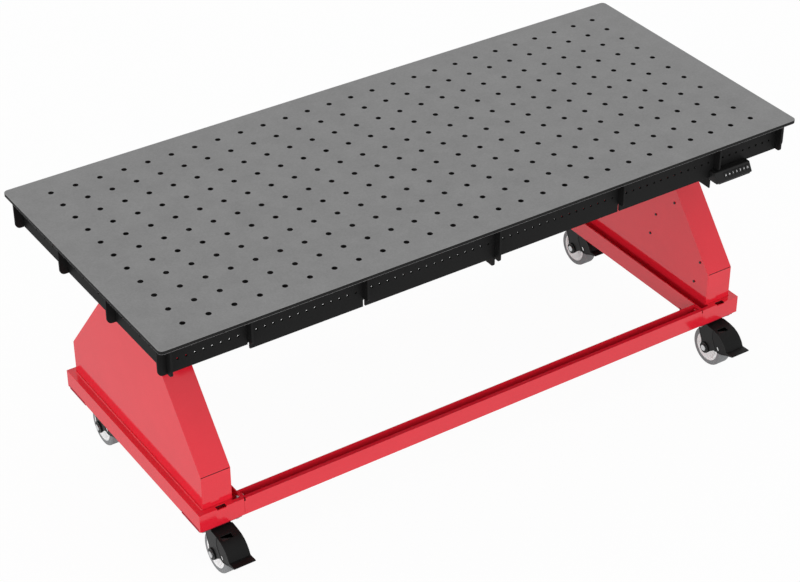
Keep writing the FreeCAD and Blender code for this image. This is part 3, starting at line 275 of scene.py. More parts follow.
def dress(piece, slot, body, *replaced):
    if not piece.data.materials:
        piece.data.materials.append(FINISHES[slot])
    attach(piece, body)
    if replaced:
        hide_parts(*replaced)
    return piece


def repaint(piece, material, test):
    piece.data.materials.append(material)
    for face in piece.data.polygons:
        if test(face.center, face.normal):
            face.material_index = len(piece.data.materials) - 1


for name, node in frame["nodes"].items():
    node.data.materials.clear()
    node.data.materials.append(FINISHES[NODE_SLOT[name]])
print("painted", len(frame["nodes"]), "CAD nodes")

# %% [markdown]
# ## Easing the edges
# A folded, cut or turned piece of metal has no perfectly sharp edge: a fold
# has a radius, a laser cut is tumbled, and powder coat rounds both. That thin
# line of light along each edge is what makes metal look real. The CAD shapes
# are right, so each is copied, its loose triangles are joined to whole faces,
# and a Bevel modifier rounds only the edges that turn by more than 30
# degrees. Modelling each plate again by hand would give the same shape with
# far more work.

# %% A copy of a CAD node, with whole faces
SAME_PLACE, SAME_PLANE = 0.001 * MM, math.radians(1)


def whole_copy(node_name, name):
    node = frame["nodes"][node_name]
    piece = node.copy()
    piece.data = node.data.copy()
    piece.name = piece.data.name = name
    for key in list(piece.keys()):
        del piece[key]
    piece.parent = None
    piece.data.materials.clear()
    piece.data.materials.append(FINISHES[NODE_SLOT[node_name]])
    for face in piece.data.polygons:
        face.material_index = 0
    piece.hide_render = piece.hide_viewport = False
    bpy.context.scene.collection.objects.link(piece)
    piece.hide_set(False)
    edit(piece, action="SELECT")
    bpy.ops.mesh.remove_doubles(threshold=SAME_PLACE)
    bpy.ops.mesh.dissolve_limited(angle_limit=SAME_PLANE)
    done()
    return piece


def eased(node_name, width):
    piece = ease(whole_copy(node_name, node_name + "_eased"), width)
    return dress(piece, NODE_SLOT[node_name], NODE_BODY[node_name], node_name)


print("copy helpers ready for", len(NODE_BODY), "nodes")

# %% [markdown]
# ### How round each edge is
# Bolts and screws have the finest edges. Thin sheet keeps a small radius,
# drawn tube and thick plate a larger one, and the cast or moulded cases the
# largest. Each width below goes to all the nodes that share it.

# %% Ease the sheets, plates, tubes and bolts
EDGES_MM = {
    0.4: ("front_rail", "rear_rail", "inner_rails", "end_ribs", "cross_ribs",
          "centre_rib", "panel_bracket", "left_pedestal_cover",
          "right_pedestal_cover"),
    0.8: ("column_heads", "left_column_outer", "right_column_outer",
          "left_column_mid", "right_column_mid", "left_column_inner",
          "right_column_inner", "lift_cylinders", "lift_rods"),
    1.5: ("power_unit", "control_unit", "panel_housing"),
    0.3: ("caster_bolts", "frame_bolts", "cover_screws"),
}
for width, nodes in EDGES_MM.items():
    for name in nodes:
        eased(name, width * MM)
    print(f"{width} mm edges on {len(nodes)} nodes")

# %% [markdown]
# ## The perforated top
# The top is one steel plate, cut by laser and lightly tumbled. The outer rim
# is bevelled by hand first. The Bevel modifier then only finds the holes,
# whose edges still turn by a right angle. All upright faces, the holes' walls
# and the rim's edge, then get a near-black finish, a painted shade for the
# shade that fills the holes.

# %% Bevel the rim, then the holes, and darken the cuts
RIM, RIM_BEVEL, HOLE_BEVEL = 15 * MM, 1.4 * MM, 0.4 * MM
RIM_X, RIM_Y = plate_high.x - RIM, plate_high.y - MIDDLE - RIM


def on_rim(point):
    return abs(point.x) > RIM_X or abs(point.y - MIDDLE) > RIM_Y


def upright(place, normal):
    return abs(normal.z) < 0.3


top = whole_copy("table_plate", "table_top")
edges(top, lambda a, b: on_rim(a) and on_rim(b) and abs(a.z - b.z) < MM)
bpy.ops.mesh.bevel(offset=RIM_BEVEL, segments=2, affect="EDGES")
done()
ease(top, HOLE_BEVEL, 1, degrees=60)
dress(top, "plate_steel", NODE_BODY["table_plate"], "table_plate")
# Painted shade: the upright faces, mostly the holes' walls, get the near-black finish.
repaint(top, CUT_SHADE_BLACK, upright)
print("table top:", len(top.data.polygons), "faces")

# %% [markdown]
# ## The welded base
# Each end frame and beam is a folded trough of 4 mm sheet. Openings are cut
# with a Boolean modifier, as a saw would, and strips are welded on with
# another. The block that cuts, or that is welded on, is a cube set to its
# size, and it is deleted afterwards. A cutter runs a little past the face
# that it opens, so no paper-thin skin is left. If it carries a material, the
# cut faces take that material.

# %% Cut with a block, weld on a block
PAST = 1 * MM


def block(name, xs, ys, zs):
    low, high = (Vector(map(end, (xs, ys, zs))) for end in (min, max))
    bpy.ops.object.select_all(action="DESELECT")
    bpy.ops.mesh.primitive_cube_add(size=1, location=(low + high) / 2)
    piece = bpy.context.object
    piece.name = name
    piece.scale = high - low
    bpy.ops.object.transform_apply(location=True, rotation=True, scale=True)
    return piece


def cut(piece, xs, ys, zs, paint=None):
    cutter = block("cutter", xs, ys, zs)
    if paint:
        cutter.data.materials.append(paint)
    modify(piece, "BOOLEAN", operation="DIFFERENCE", solver="EXACT", object=cutter,
           material_mode="TRANSFER" if paint else "INDEX")
    bpy.data.objects.remove(cutter, do_unlink=True)


def weld(piece, other):
    modify(piece, "BOOLEAN", operation="UNION", solver="EXACT", object=other)
    bpy.data.objects.remove(other, do_unlink=True)


print("cut and weld helpers ready")

# %% [markdown]
# ### Painted shade over the casters
# The pads over the casters and the casters' mounting plates are bolted face
# to face in the shade under the frame's foot. They get a matt red, darker than
# the gloss, that paints this shade in. The four mounting plates are copied from
# the CAD, eased and given this painted shade.

# %% The painted shade and the shaded plates
# A matt, darker red: painted shade under the frame's foot.
SHADE_RED = finish("matt red painted shade", (0.30, 0.008, 0.022), (0.38, 0.011, 0.028),
                roughness=(0.6, 0.7), grain=900, Specular_IOR_Level=0.15)
PLATE_EDGE = 0.8 * MM
plates = ease(whole_copy("caster_top_plates", "caster_top_plates_shaded"), PLATE_EDGE)
# Painted shade: the mounting plates take the dark red.
plates.data.materials[0] = SHADE_RED
dress(plates, "red_paint", "base", "caster_top_plates")
print(plates.name, len(plates.data.polygons), "faces")

# %% [markdown]
# ### The rim of an end frame
# A flat rim closes the trough between its walls and the foot of the pedestal,
# and a fine, rounded bead of sealant runs along the pedestal's foot. All are
# blocks that are welded to the frame. They lap into the walls a little,
# because a Boolean modifier needs shapes that really overlap.

# %% Weld on the rim and the bead
WALL, LAP, GAP = 4 * MM, 2 * MM, 0.6 * MM
RIM_REACH = 86 * MM
BEAD_IN, BEAD_OUT, BEAD_DOWN, BEAD_UP, BEAD_ROUND = (
    value * MM for value in (1.5, 5, 3, 2.6, 2.4))


def close_rim(end, sign, low, high, foot_low, foot_high):
    outer, foot = (low.x, foot_low.x) if sign < 0 else (high.x, foot_high.x)
    lapped, rim = outer - sign * LAP, (high.z - WALL, high.z)
    weld(end, block("outer_rim", (lapped, foot + sign * GAP),
                    (low.y + LAP, high.y - LAP), rim))
    for wall, foot_y, out in ((low.y, foot_low.y, -1), (high.y, foot_high.y, 1)):
        weld(end, block("front_rim", (lapped, foot - sign * RIM_REACH),
                        (wall - out * LAP, foot_y + out * GAP), rim))
    bead = block("bead", (foot - sign * BEAD_IN, foot + sign * BEAD_OUT),
                 (foot_low.y, foot_high.y), (high.z - BEAD_DOWN, high.z + BEAD_UP))
    weld(end, ease(bead, BEAD_ROUND, 3))


print("the rim is", round(WALL / MM, 1), "mm thick")

# %% [markdown]
# ### Notches and pads of an end frame
# A short notch for a strap is cut through the rim and the wall's top, and its
# faces get a near-black painted shade, for the shade inside it. The pads under
# the frame end short of its walls, so their outlines are cut back, and a
# shallow step runs up the side walls beside each pad, in the pads' dark red
# painted shade.

# %% Cut the notches and the pads, and finish the end frames
NOTCH_X, NOTCH_HALF, NOTCH_DEEP, NOTCH_DOWN = (
    value * MM for value in (871, 14.2, 12, 0.1))
PAD_INSET_X, PAD_INSET_Y, PAD_LONG = 1.5 * MM, 8.5 * MM, 108 * MM
PAD_TOP, PAD_STEP_TOP = 168 * MM, 173.8 * MM
SHEET_EDGE = 0.35 * MM


def cut_notches_and_pads(end, sign, low, high):
    for wall, out in ((low.y, -1), (high.y, 1)):
        inset = wall - out * PAD_INSET_Y
        # Painted shade: the notch's cut faces take the near-black finish.
        cut(end, (sign * NOTCH_X - NOTCH_HALF, sign * NOTCH_X + NOTCH_HALF),
            (wall + out * PAST, wall - out * NOTCH_DEEP),
            (high.z - WALL - NOTCH_DOWN, high.z + PAST), CUT_SHADE_BLACK)
        cut(end, (low.x - PAST, high.x + PAST), (wall + out * PAST, inset),
            (low.z - PAST, PAD_TOP))
        # Painted shade: the steps' faces take the dark red.
        for side_wall, inward in ((low.x, 1), (high.x, -1)):
            cut(end, (side_wall - inward * PAST, side_wall + inward * PAD_INSET_X),
                (inset, wall - out * PAD_LONG), (low.z - PAST, PAD_STEP_TOP), SHADE_RED)


for side, sign in (("left", -1), ("right", 1)):
    end = whole_copy(side + "_end_frame", side + "_end_trough")
    low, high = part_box(side + "_end_frame")
    close_rim(end, sign, low, high, *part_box(side + "_pedestal_shell"))
    cut_notches_and_pads(end, sign, low, high)
    ease(end, SHEET_EDGE)
    # Painted shade: the pads' faces under the frame take the dark red.
    repaint(end, SHADE_RED, lambda place, normal: place.z < PAD_TOP - MM)
    dress(end, "red_paint", "base", side + "_end_frame")
    print(end.name, len(end.data.polygons), "faces")

# %% [markdown]
# ### The beams
# The seams between beams and end frames are welded and ground before
# painting, so only a hair line is left, with a short open slit at each seam's
# top, where the torch can't reach. The slit's faces get a near-black painted
# shade, like a notch's, for the shade inside the slit.

# %% Beams with a slit at the top of each seam
SLIT_WIDE, SLIT_HIGH, SLIT_DEEP = 3.2 * MM, 10 * MM, 4.5 * MM
for side, out in (("front", -1), ("rear", 1)):
    beam = whole_copy(side + "_beam", side + "_beam_welded")
    low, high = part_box(side + "_beam")
    wall = low.y if out < 0 else high.y
    for end, inward in ((low.x, 1), (high.x, -1)):
        # Painted shade: the slit's cut faces take the near-black finish.
        cut(beam, (end - inward * PAST, end + inward * SLIT_WIDE),
            (wall + out * PAST, wall - out * SLIT_DEEP),
            (high.z - SLIT_HIGH, high.z + PAST), CUT_SHADE_BLACK)
    ease(beam, SHEET_EDGE)
    dress(beam, "red_paint", "base", side + "_beam")
    print(beam.name, len(beam.data.polygons), "faces")

# %% [markdown]
# ## The base's bolts
# The bolts in the two beams were in place when the base was painted, so they
# are red. The other bolts went in later and are plated. Both sets are copies
# of the same CAD node, and each copy loses the bolts that the other keeps.

# %% Painted and plated bolts
BEAM_END, BEAM_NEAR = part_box("front_beam")[1].x - WALL, 350 * MM
BOLT_EDGE = 0.3 * MM


def in_beam(place):
    return abs(place.x) < BEAM_END and abs(place.y - MIDDLE) > BEAM_NEAR


for name, slot, keep in (("painted_bolts", "red_paint", in_beam),
                         ("plated_bolts", "zinc_steel", lambda p: not in_beam(p))):
    bolts = whole_copy("base_bolts", name)
    bolts.data.materials[0] = FINISHES[slot]
    faces(bolts, lambda place, normal: not keep(place))
    bpy.ops.mesh.delete(type="FACE")
    done()
    ease(bolts, BOLT_EDGE)
    dress(bolts, slot, "base", "base_bolts")
    print(name, len(bolts.data.polygons), "faces")

# %% [markdown]
# ## The pedestals
# A pedestal is a folded shell with a cover plate. Its lower part stands
# upright and its front and back then lean inwards. The two sheets meet at
# that bend in a closed joint, which paint bridges but doesn't hide: a fine
# dark line. It is a shallow groove, cut with a thin block, whose faces get
# a near-black painted shade for the shade in it.

# %% Pedestal shells with the joint line
BEND, SEAM, SEAM_DEEP, SHELL_EDGE = 330 * MM, 1.8 * MM, 1.1 * MM, 0.2 * MM
for side in ("left", "right"):
    shell = whole_copy(side + "_pedestal_shell", side + "_pedestal_body")
    low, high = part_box(side + "_pedestal_shell")
    for wall, out in ((low.y, -1), (high.y, 1)):
        # Painted shade: the groove's faces take the near-black finish.
        cut(shell, (low.x - PAST, high.x + PAST),
            (wall + out * PAST, wall - out * SEAM_DEEP),
            (BEND - SEAM / 2, BEND + SEAM / 2), CUT_SHADE_BLACK)
    ease(shell, SHELL_EDGE)
    dress(shell, "red_paint", "base", side + "_pedestal_shell")
    print(shell.name, len(shell.data.polygons), "faces")

# %% [markdown]
# ## Casters: the wheel
# A tread of grey rubber is bonded round a pale moulded hub. Both are turned
# shapes, so both start as a cylinder. Insetting its end caps again and again,
# each time with a width and a depth, shapes the two dished faces of the hub at
# once, much as a lathe tool would. All casters are made once at the origin of
# their own swivel and copied to the corners.

# %% Sizes of the caster, about its own swivel line
def caster_places():
    for corner in ("front_left", "front_right", "rear_left", "rear_right"):
        low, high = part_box(corner + "_tyre")
        yield corner, (low + high) / 2


first_wheel = next(caster_places())[1]
WHEEL_R, WHEEL_HALF, HUB_R = first_wheel.z, 21 * MM, 46.5 * MM
print("wheel radius", round(WHEEL_R, 4), "hub radius", HUB_R)

# %% [markdown]
# ### The lathe's two moves
# One helper sets up the round bar along X, the axle's direction. The other
# insets the chosen faces step by step. The same inset also draws the pressed
# lines on the hood and the fork later on.

# %% A round bar, and stepping in
TURNED_EDGE = 0.4 * MM


def turned(name, radius, half_width, sides=64):
    bpy.ops.object.select_all(action="DESELECT")
    bpy.ops.mesh.primitive_cylinder_add(
        vertices=sides, radius=radius, depth=2 * half_width,
        location=(0, 0, 0), rotation=(0, math.pi / 2, 0))
    piece = bpy.context.object
    piece.name = piece.data.name = name
    bpy.ops.object.transform_apply(location=True, rotation=True, scale=True)
    return piece


def end_cap(place, normal):
    return abs(normal.x) > 0.9


def step_in(piece, steps, test=end_cap):
    faces(piece, test)
    for width, depth in steps:
        bpy.ops.mesh.inset(thickness=width * MM, depth=depth * MM)
    done()


print("turning helpers ready")

# %% [markdown]
# ### Turning the hub
# Each pair below is one turn of the tool: how far inwards it moves, and how
# far it sinks (minus) or rises. The first ones cut the fine groove in the
# rim, then come the dish and the raised boss round the axle.

# %% Turn the hub
HUB_STEPS = [(2.5, 0), (0.8, -1.6), (1.5, 0), (0.8, 1.6), (2.0, 0), (5.0, -3.6),
             (7.0, -3.0), (5.0, -0.6), (2.0, 4.2), (4.0, 2.0), (2.0, 4.5)]
hub = turned("hub", HUB_R, WHEEL_HALF)
step_in(hub, HUB_STEPS)
ease(hub, TURNED_EDGE, 1)
print("hub", len(hub.data.polygons), "faces")

# %% [markdown]
# ### Turning the tread
# The tread starts as a cylinder too. Its ends are inset to the hub's edge and
# opened, and bridging the two rims makes it a ring. Its outer corners are
# beveled wide, because a soft tread has round shoulders.

# %% Turn the tread
TREAD_ROUND = 5 * MM


def from_axle(point):
    return Vector((point.y, point.z)).length


tread = turned("tread", WHEEL_R, WHEEL_HALF)
faces(tread, end_cap)
bpy.ops.mesh.inset(thickness=WHEEL_R - HUB_R)
bpy.ops.mesh.delete(type="FACE")
edges(tread, lambda a, b: max(from_axle(a), from_axle(b)) < HUB_R + MM)
bpy.ops.mesh.bridge_edge_loops()
edges(tread, lambda a, b: min(from_axle(a), from_axle(b)) > WHEEL_R - MM
      and abs(a.x - b.x) < MM)
bpy.ops.mesh.bevel(offset=TREAD_ROUND, segments=5, affect="EDGES")
done()
ease(tread, TURNED_EDGE, 1, degrees=50)
print("tread", len(tread.data.polygons), "faces")

# %% [markdown]
# ## Casters: the brake hood
# One moulding of black nylon covers the wheel's front: its lip is the pedal,
# and its two cheeks carry the brake's pivot. The side outline is drawn first
# as a flat polygon of as many corners as the moulding has, each corner is
# dragged to its place, and the polygon is extruded across the wheel.

# %% A flat outline, extruded across
def extrude(move):
    bpy.ops.mesh.extrude_region_move(TRANSFORM_OT_translate={"value": move})


def outline_block(name, outline, low_x, high_x):
    bpy.ops.object.select_all(action="DESELECT")
    bpy.ops.mesh.primitive_circle_add(vertices=len(outline), radius=0.01,
                                      fill_type="NGON", location=(0, 0, 0))
    piece = bpy.context.object
    piece.name = piece.data.name = name
    for corner, (y, z) in zip(piece.data.vertices, outline):
        corner.co = (low_x, y * MM, z * MM)
    edit(piece, action="SELECT")
    extrude((high_x - low_x, 0, 0))
    bpy.ops.mesh.select_all(action="SELECT")
    bpy.ops.mesh.normals_make_consistent(inside=False)
    done()
    return piece


print("outline helper ready")

# %% [markdown]
# ### Moulding the hood
# The corners run from the top, over the nose, out along the lip and back
# along the open underside. A shallow pocket is cut in the top, and its faces
# get a lighter, glossier grey, and a fine step runs round inside each cheek's
# outline. The faces that are open on the real hood are deleted, and Solidify
# gives the walls their thickness.

# %% Mould the hood
HOOD_OUTLINE = [(-78.5, 147.3), (-97, 143.5), (-112, 137), (-124, 127.5),
                (-134, 115.5), (-139, 106), (-141.5, 101.5), (-168.5, 103),
                (-169.5, 99.6), (-138, 89), (-121, 81), (-104, 77), (-94, 80),
                (-84, 92), (-75, 108), (-70.5, 117), (-70.5, 140)]
HOOD_HALF, HOOD_WALL, HOOD_EDGE, LIP_START = (
    value * MM for value in (33.4, 2.2, 0.7, -143))
OPEN_BACK, OPEN_BELOW = -71 * MM, 120 * MM
POCKET = (-24 * MM, 9 * MM), (-96 * MM, -80 * MM), (141.8 * MM, 152 * MM)
POCKET_GREY = finish("lighter grey pocket nylon", grey(0.018), grey(0.03), roughness=(0.4, 0.5),
                     grain=1400, Specular_IOR_Level=0.3)
CHEEK_STEP = [(3.2, 0), (0.8, -0.9)]


def cheek(place, normal):
    return (end_cap(place, normal) and place.y > LIP_START
            and abs(place.x) > HOOD_HALF - MM)


def open_side(place, normal):
    underside = place.z < OPEN_BELOW and (normal.z < -0.3 or normal.y > 0.5)
    return abs(normal.x) < 0.5 and (place.y > OPEN_BACK or underside)


hood = outline_block("hood", HOOD_OUTLINE, -HOOD_HALF, HOOD_HALF)
hood.data.materials.append(FINISHES["pedal_black"])
cut(hood, *POCKET, POCKET_GREY)
edit(hood, action="SELECT")
bpy.ops.mesh.bisect(plane_co=(0, LIP_START, 0), plane_no=(0, 1, 0))
done()
step_in(hood, CHEEK_STEP, cheek)
faces(hood, open_side)
bpy.ops.mesh.delete(type="FACE")
done()
modify(hood, "SOLIDIFY", thickness=HOOD_WALL, offset=-1)
ease(hood, HOOD_EDGE)
print("hood", len(hood.data.polygons), "faces", [round(v, 4) for v in hood.dimensions])

# %% [markdown]
# ## Casters: the fork
# The fork is welded from a crown plate, a visor over the hood, a swivel disc
# and two pressed legs. Each leg runs forward to shield the brake, and ends
# round the axle. The parts are united by Boolean modifiers, so no face is
# left inside.

# %% Weld the fork
LEG_OUTLINE = [(-4, 146), (-8, 114), (-15, 97), (-22.5, 81), (-23.2, 69),
               (-22, 62.5), (-24.5, 53), (-31.5, 46), (-41, 43.5), (-50.5, 46),
               (-57.5, 53), (-66, 61.5), (-80, 73), (-94, 76), (-101, 84),
               (-100, 96), (-96, 112), (-88, 128), (-78, 146)]
CROWN_OUTLINE = [(28, 144), (28, 149.4), (-50, 149.4), (-77.6, 147.6),
                 (-77.6, 142.5), (-70, 144)]
VISOR_OUTLINE = [(-44, 146), (-46, 149.2), (-77.6, 147.4), (-77.6, 139),
                 (-70, 141)]
CROWN_HALF, LEG_WIDE, LEG_LOW_X = 30.4 * MM, 4 * MM, (-30.5 * MM, 26.5 * MM)
DISC_R, DISC_HIGH, DISC_MIDDLE = 38 * MM, 5.4 * MM, 146.75 * MM
LEG_STEP, DISC_STEP = [(2.5, 0), (0.8, -0.6)], [(6, 0), (1, -1)]
PRESSED_EDGE = 0.5 * MM

fork = outline_block("fork", CROWN_OUTLINE, -CROWN_HALF, CROWN_HALF)
weld(fork, outline_block("visor", VISOR_OUTLINE, -HOOD_HALF, HOOD_HALF))
for low_x in LEG_LOW_X:
    leg = outline_block("leg", LEG_OUTLINE, low_x, low_x + LEG_WIDE)
    step_in(leg, LEG_STEP)
    weld(fork, leg)
bpy.ops.object.select_all(action="DESELECT")
bpy.ops.mesh.primitive_cylinder_add(vertices=64, radius=DISC_R, depth=DISC_HIGH,
                                    location=(0, 0, DISC_MIDDLE))
swivel_disc = bpy.context.object
bpy.ops.object.transform_apply(location=True)
step_in(swivel_disc, DISC_STEP, lambda place, normal: normal.z > 0.9)
weld(fork, swivel_disc)
ease(fork, PRESSED_EDGE)
print("fork", len(fork.data.polygons), "faces", [round(v, 4) for v in fork.dimensions])

# %% [markdown]
# ## Casters: small parts
# A black disc backs each end of the axle, and a plated stud sits low on each
# cheek of the hood. Each is made for one side and joined with its twin.

# %% Axle discs and studs
STUD_OUTLINE = [(-99.4, 99.4), (-99.0, 95.9), (-104.2, 89.2), (-107.6, 88.6),
                (-108.0, 92.1), (-102.8, 98.8)]
STUD_HALF, STUD_GAP = 1.4 * MM, 32.8 * MM
AXLE_DISC_R, AXLE_DISC_HALF, AXLE_DISC_GAP = 18 * MM, 1.6 * MM, 32.1 * MM
AXLE_DISC_STEP = [(2.0, 0), (0.8, -0.5)]


def twins(name, make, half_gap):
    pair = [make(name, -half_gap), make(name + "_twin", half_gap)]
    pick(pair[0])
    pair[1].select_set(True)
    bpy.ops.object.join()
    return pair[0]


def axle_disc(name, x):
    piece = turned(name, AXLE_DISC_R, AXLE_DISC_HALF, 48)
    edit(piece, action="SELECT")
    bpy.ops.transform.translate(value=(x, 0, 0))
    done()
    step_in(piece, AXLE_DISC_STEP)
    return ease(piece, TURNED_EDGE)


def stud(name, x):
    piece = outline_block(name, STUD_OUTLINE, x - STUD_HALF, x + STUD_HALF)
    return ease(piece, PRESSED_EDGE)


discs = twins("axle_discs", axle_disc, AXLE_DISC_GAP)
studs = twins("studs", stud, STUD_GAP)
print("discs", len(discs.data.polygons), "faces")
print("studs", len(studs.data.polygons), "faces")

# %% [markdown]
# ### Four casters from one
# All four casters are alike, so each part is copied to every corner. The
# wheel's parts go to the axle and the others to the swivel line. The wheel
# rolls, the hood presses down and the fork swivels, so each rides a body of
# its own. The first set is deleted at the end.

# %% Copy the caster to its four corners
def placed(part, name, place, slot, body, *replaced):
    piece = part.copy()
    piece.data = part.data.copy()
    piece.name = piece.data.name = name
    bpy.context.scene.collection.objects.link(piece)
    edit(piece, action="SELECT")
    bpy.ops.transform.translate(value=place)
    done()
    return dress(piece, slot, body, *replaced)


SWIVEL_TO_WHEEL = 41 * MM
for corner, wheel in caster_places():
    swivel = (wheel.x, wheel.y + SWIVEL_TO_WHEEL, 0)
    placed(hub, corner + "_turned_hub", wheel, "hub_plastic", corner + "_wheel",
           corner + "_hub")
    placed(tread, corner + "_tread", wheel, "tread_grey", corner + "_wheel",
           corner + "_tyre")
    placed(hood, corner + "_hood", swivel, "pedal_black", corner + "_brake",
           corner + "_pedal")
    placed(studs, corner + "_hood_studs", swivel, "bright_steel", corner + "_brake")
    placed(discs, corner + "_axle_discs", wheel, "caster_black", corner + "_caster")
    placed(fork, corner + "_welded_fork", swivel, "caster_black", corner + "_caster",
           corner + "_fork")
    eased(corner + "_axle", PRESSED_EDGE)
for part in (hub, tread, hood, studs, discs, fork):
    bpy.data.objects.remove(part, do_unlink=True)
print("casters placed at", [corner for corner, wheel in caster_places()])

# %% [markdown]
# ## The control panel
# The lift's handset has a row of seven keys: up, down, four stored heights
# and one that stores a height. Each keycap is softly rounded and carries a
# white mark. A number is a text object made into a mesh, and an arrow or ring
# starts as a circle with few or many corners. The mark is laid on the cap and
# joined to it, so that it moves with its key.

# %% Marks for the keys
PANEL_OUT = Vector((0, -0.87462, 0.48481))
MARKS = {"key_up": 3, "key_down": -3, "key_one": "1", "key_two": "2",
         "key_three": "3", "key_four": "4", "key_store": 24}
DIGIT_HIGH, MARK_R, RING_WIDE, PRINT_HIGH = 8.6 * MM, 2.9 * MM, 0.9 * MM, 0.12 * MM


def digit(sign):
    bpy.ops.object.text_add(location=(0, 0, 0))
    text = bpy.context.object.data
    text.body, text.size, text.extrude = sign, DIGIT_HIGH, PRINT_HIGH
    text.align_x, text.align_y = "CENTER", "CENTER"
    bpy.ops.object.convert(target="MESH")


def arrow_or_ring(corners):
    bpy.ops.mesh.primitive_circle_add(vertices=abs(corners), radius=MARK_R,
                                      fill_type="NGON", location=(0, 0, 0))
    edit(bpy.context.object, action="SELECT")
    if abs(corners) > 3:
        bpy.ops.mesh.inset(thickness=RING_WIDE)
        bpy.ops.mesh.delete(type="FACE")
        bpy.ops.mesh.select_all(action="SELECT")
    elif corners < 0:
        bpy.ops.transform.rotate(value=math.pi, orient_axis="Z",
                                 center_override=(0, 0, 0))
    extrude((0, 0, PRINT_HIGH))
    done()


def mark(sign):
    bpy.ops.object.select_all(action="DESELECT")
    if isinstance(sign, str):
        digit(sign)
    else:
        arrow_or_ring(sign)
    return bpy.context.object


print("marks for", len(MARKS), "keys")

# %% [markdown]
# ### Rounding and marking the caps
# A moulded cap has soft edges, about 1.2 mm wide. The mark is turned to face
# the same way as the panel and sunk a little, as print has no gap under it.
# The cap is dressed first, and joining then brings the white print along.

# %% Rounded keycaps with their marks
CAP_ROUND, SUNK = 1.2 * MM, 0.02 * MM
for key, sign in MARKS.items():
    cap = ease(whole_copy(key, key + "_cap"), CAP_ROUND, 3)
    low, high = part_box(key)
    centre = (low + high) / 2
    reach = max((vertex.co - centre).dot(PANEL_OUT) for vertex in cap.data.vertices)
    label = mark(sign)
    label.rotation_euler = PANEL_OUT.to_track_quat("Z", "Y").to_euler()
    label.location = centre + PANEL_OUT * (reach - SUNK)
    bpy.ops.object.transform_apply(location=True, rotation=True, scale=True)
    dress(cap, "key_plastic", NODE_BODY[key], key)
    label.data.materials.clear()
    label.data.materials.append(PRINT_WHITE)
    pick(cap)
    label.select_set(True)
    bpy.ops.object.join()
    print(key, "cap", len(cap.data.polygons), "faces")

# %% [markdown]
# ## Light and stage
# Two large soft boxes and an even white room light the table, at a level at
# which a colour renders about as it is written. The floor is pale. Only
# where the camera or a mirror-like surface sees it, it glows a little, so
# the background stays white while the soft shadows remain.

# %% A white room
def white_seen(tree):
    path = tree.nodes.new("ShaderNodeLightPath")
    seen = path.outputs["Is Camera Ray"]
    for ray in ("Is Glossy Ray", "Is Transmission Ray"):
        either = tree.nodes.new("ShaderNodeMath")
        either.operation = "MAXIMUM"
        tree.links.new(seen, either.inputs[0])
        tree.links.new(path.outputs[ray], either.inputs[1])
        seen = either.outputs[0]
    return seen


def mixed(tree, factor, plain, seen, output):
    mix = tree.nodes.new("ShaderNodeMixShader")
    tree.links.new(factor, mix.inputs["Fac"])
    tree.links.new(plain, mix.inputs[1])
    tree.links.new(seen, mix.inputs[2])
    tree.links.new(mix.outputs[0], output.inputs["Surface"])


world = bpy.data.worlds.new("studio")
bpy.context.scene.world = world
world.use_nodes = True
tree = world.node_tree
ROOM_LIGHT, ROOM_SEEN = 0.85, 1.0
room = []
for strength in (ROOM_LIGHT, ROOM_SEEN):
    shade = tree.nodes.new("ShaderNodeBackground")
    shade.inputs["Color"].default_value = (1, 1, 1, 1)
    shade.inputs["Strength"].default_value = strength
    room.append(shade.outputs[0])
mixed(tree, white_seen(tree), *room, tree.nodes["World Output"])
print("room ready")

# %% [markdown]
# ### Soft boxes
# The room alone would light all sides alike, and the folded sheets would look
# flat. A soft box at the left and a weaker one in front give each side its
# own level. No mirror-like face sees the boxes themselves.

# %% Two soft boxes
def lamp(name, place, aim, size, power):
    data = bpy.data.lights.new(name, "AREA")
    data.size, data.energy = size, power
    light = bpy.data.objects.new(name, data)
    light.location = place
    towards = Vector(aim) - Vector(place)
    light.rotation_euler = towards.to_track_quat("-Z", "Y").to_euler()
    bpy.context.scene.collection.objects.link(light)
    light.visible_camera = light.visible_glossy = False


lamp("left soft box", (-6, -3, 1.0), (0, 0, 0.4), 3.0, 165)
lamp("front soft box", (0.5, -6.5, 2.6), (0, 0, 0.5), 5.0, 70)
print("two soft boxes placed")

# %% [markdown]
# ### The floor
# A large matt plane takes the soft shadows under the casters. Its glow is
# mixed in only where it is seen, as in the room, and stays just below full
# white, so that the shadows still show.

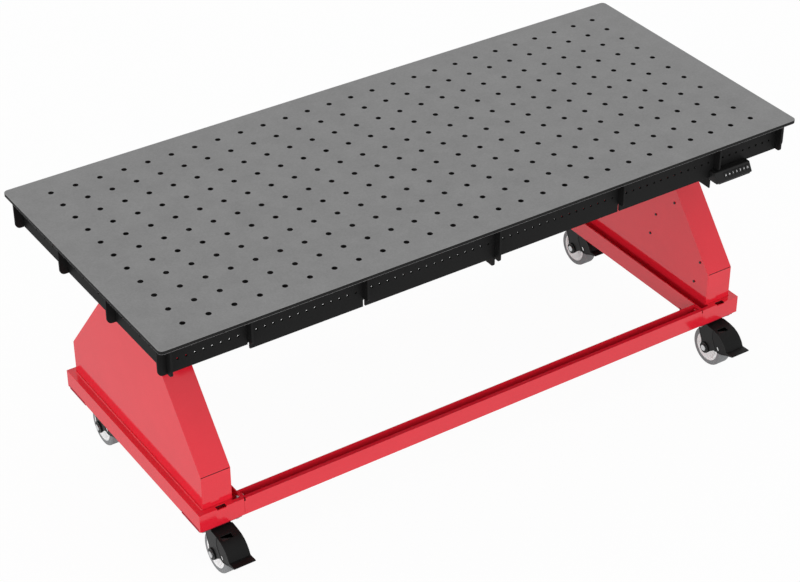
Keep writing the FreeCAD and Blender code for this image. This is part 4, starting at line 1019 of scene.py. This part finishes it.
# %% The pale floor
FLOOR_SIZE, FLOOR_GREY, FLOOR_GLOW = 40, 0.8, 0.96
bpy.ops.object.select_all(action="DESELECT")
bpy.ops.mesh.primitive_plane_add(size=FLOOR_SIZE, location=(0, 0, 0))
floor = bpy.context.object
floor.name = "floor"
floor_material = bpy.data.materials.new("pale floor")
floor_material.use_nodes = True
tree = floor_material.node_tree
shader = tree.nodes["Principled BSDF"]
shader.inputs["Base Color"].default_value = (*grey(FLOOR_GREY), 1)
shader.inputs["Roughness"].default_value = 0.9
shader.inputs["Specular IOR Level"].default_value = 0.0
glow = tree.nodes.new("ShaderNodeEmission")
amount = tree.nodes.new("ShaderNodeMath")
amount.operation = "MULTIPLY"
amount.inputs[1].default_value = FLOOR_GLOW
tree.links.new(white_seen(tree), amount.inputs[0])
mixed(tree, amount.outputs[0], shader.outputs[0], glow.outputs[0],
      tree.nodes["Material Output"])
floor.data.materials.append(floor_material)
print("floor", [round(v, 2) for v in floor.dimensions])

# %% [markdown]
# ### A grey card for the glossy side
# Seen at a low angle, glossy paint mirrors the white floor so strongly that
# its colour washes out. In a studio, a grey card is laid beside the table,
# where the side faces mirror it. Here it is seen in reflections alone.

# %% The grey card
CARD_LOW, CARD_HIGH = Vector((-2.8, -0.9, 4 * MM)), Vector((-0.99, 2.4, 4 * MM))
CARD_GREY = 0.6
bpy.ops.object.select_all(action="DESELECT")
bpy.ops.mesh.primitive_plane_add(size=1, location=(CARD_LOW + CARD_HIGH) / 2)
card = bpy.context.object
card.name = "grey_card"
card.scale = (CARD_HIGH.x - CARD_LOW.x, CARD_HIGH.y - CARD_LOW.y, 1)
bpy.ops.object.transform_apply(location=True, rotation=True, scale=True)
card_material = bpy.data.materials.new("grey card")
card_material.use_nodes = True
tree = card_material.node_tree
glow = tree.nodes.new("ShaderNodeEmission")
glow.inputs["Strength"].default_value = CARD_GREY
tree.links.new(glow.outputs[0], tree.nodes["Material Output"].inputs["Surface"])
card.data.materials.append(card_material)
card.visible_camera = card.visible_diffuse = card.visible_shadow = False
print("card", [round(v, 2) for v in card.dimensions])
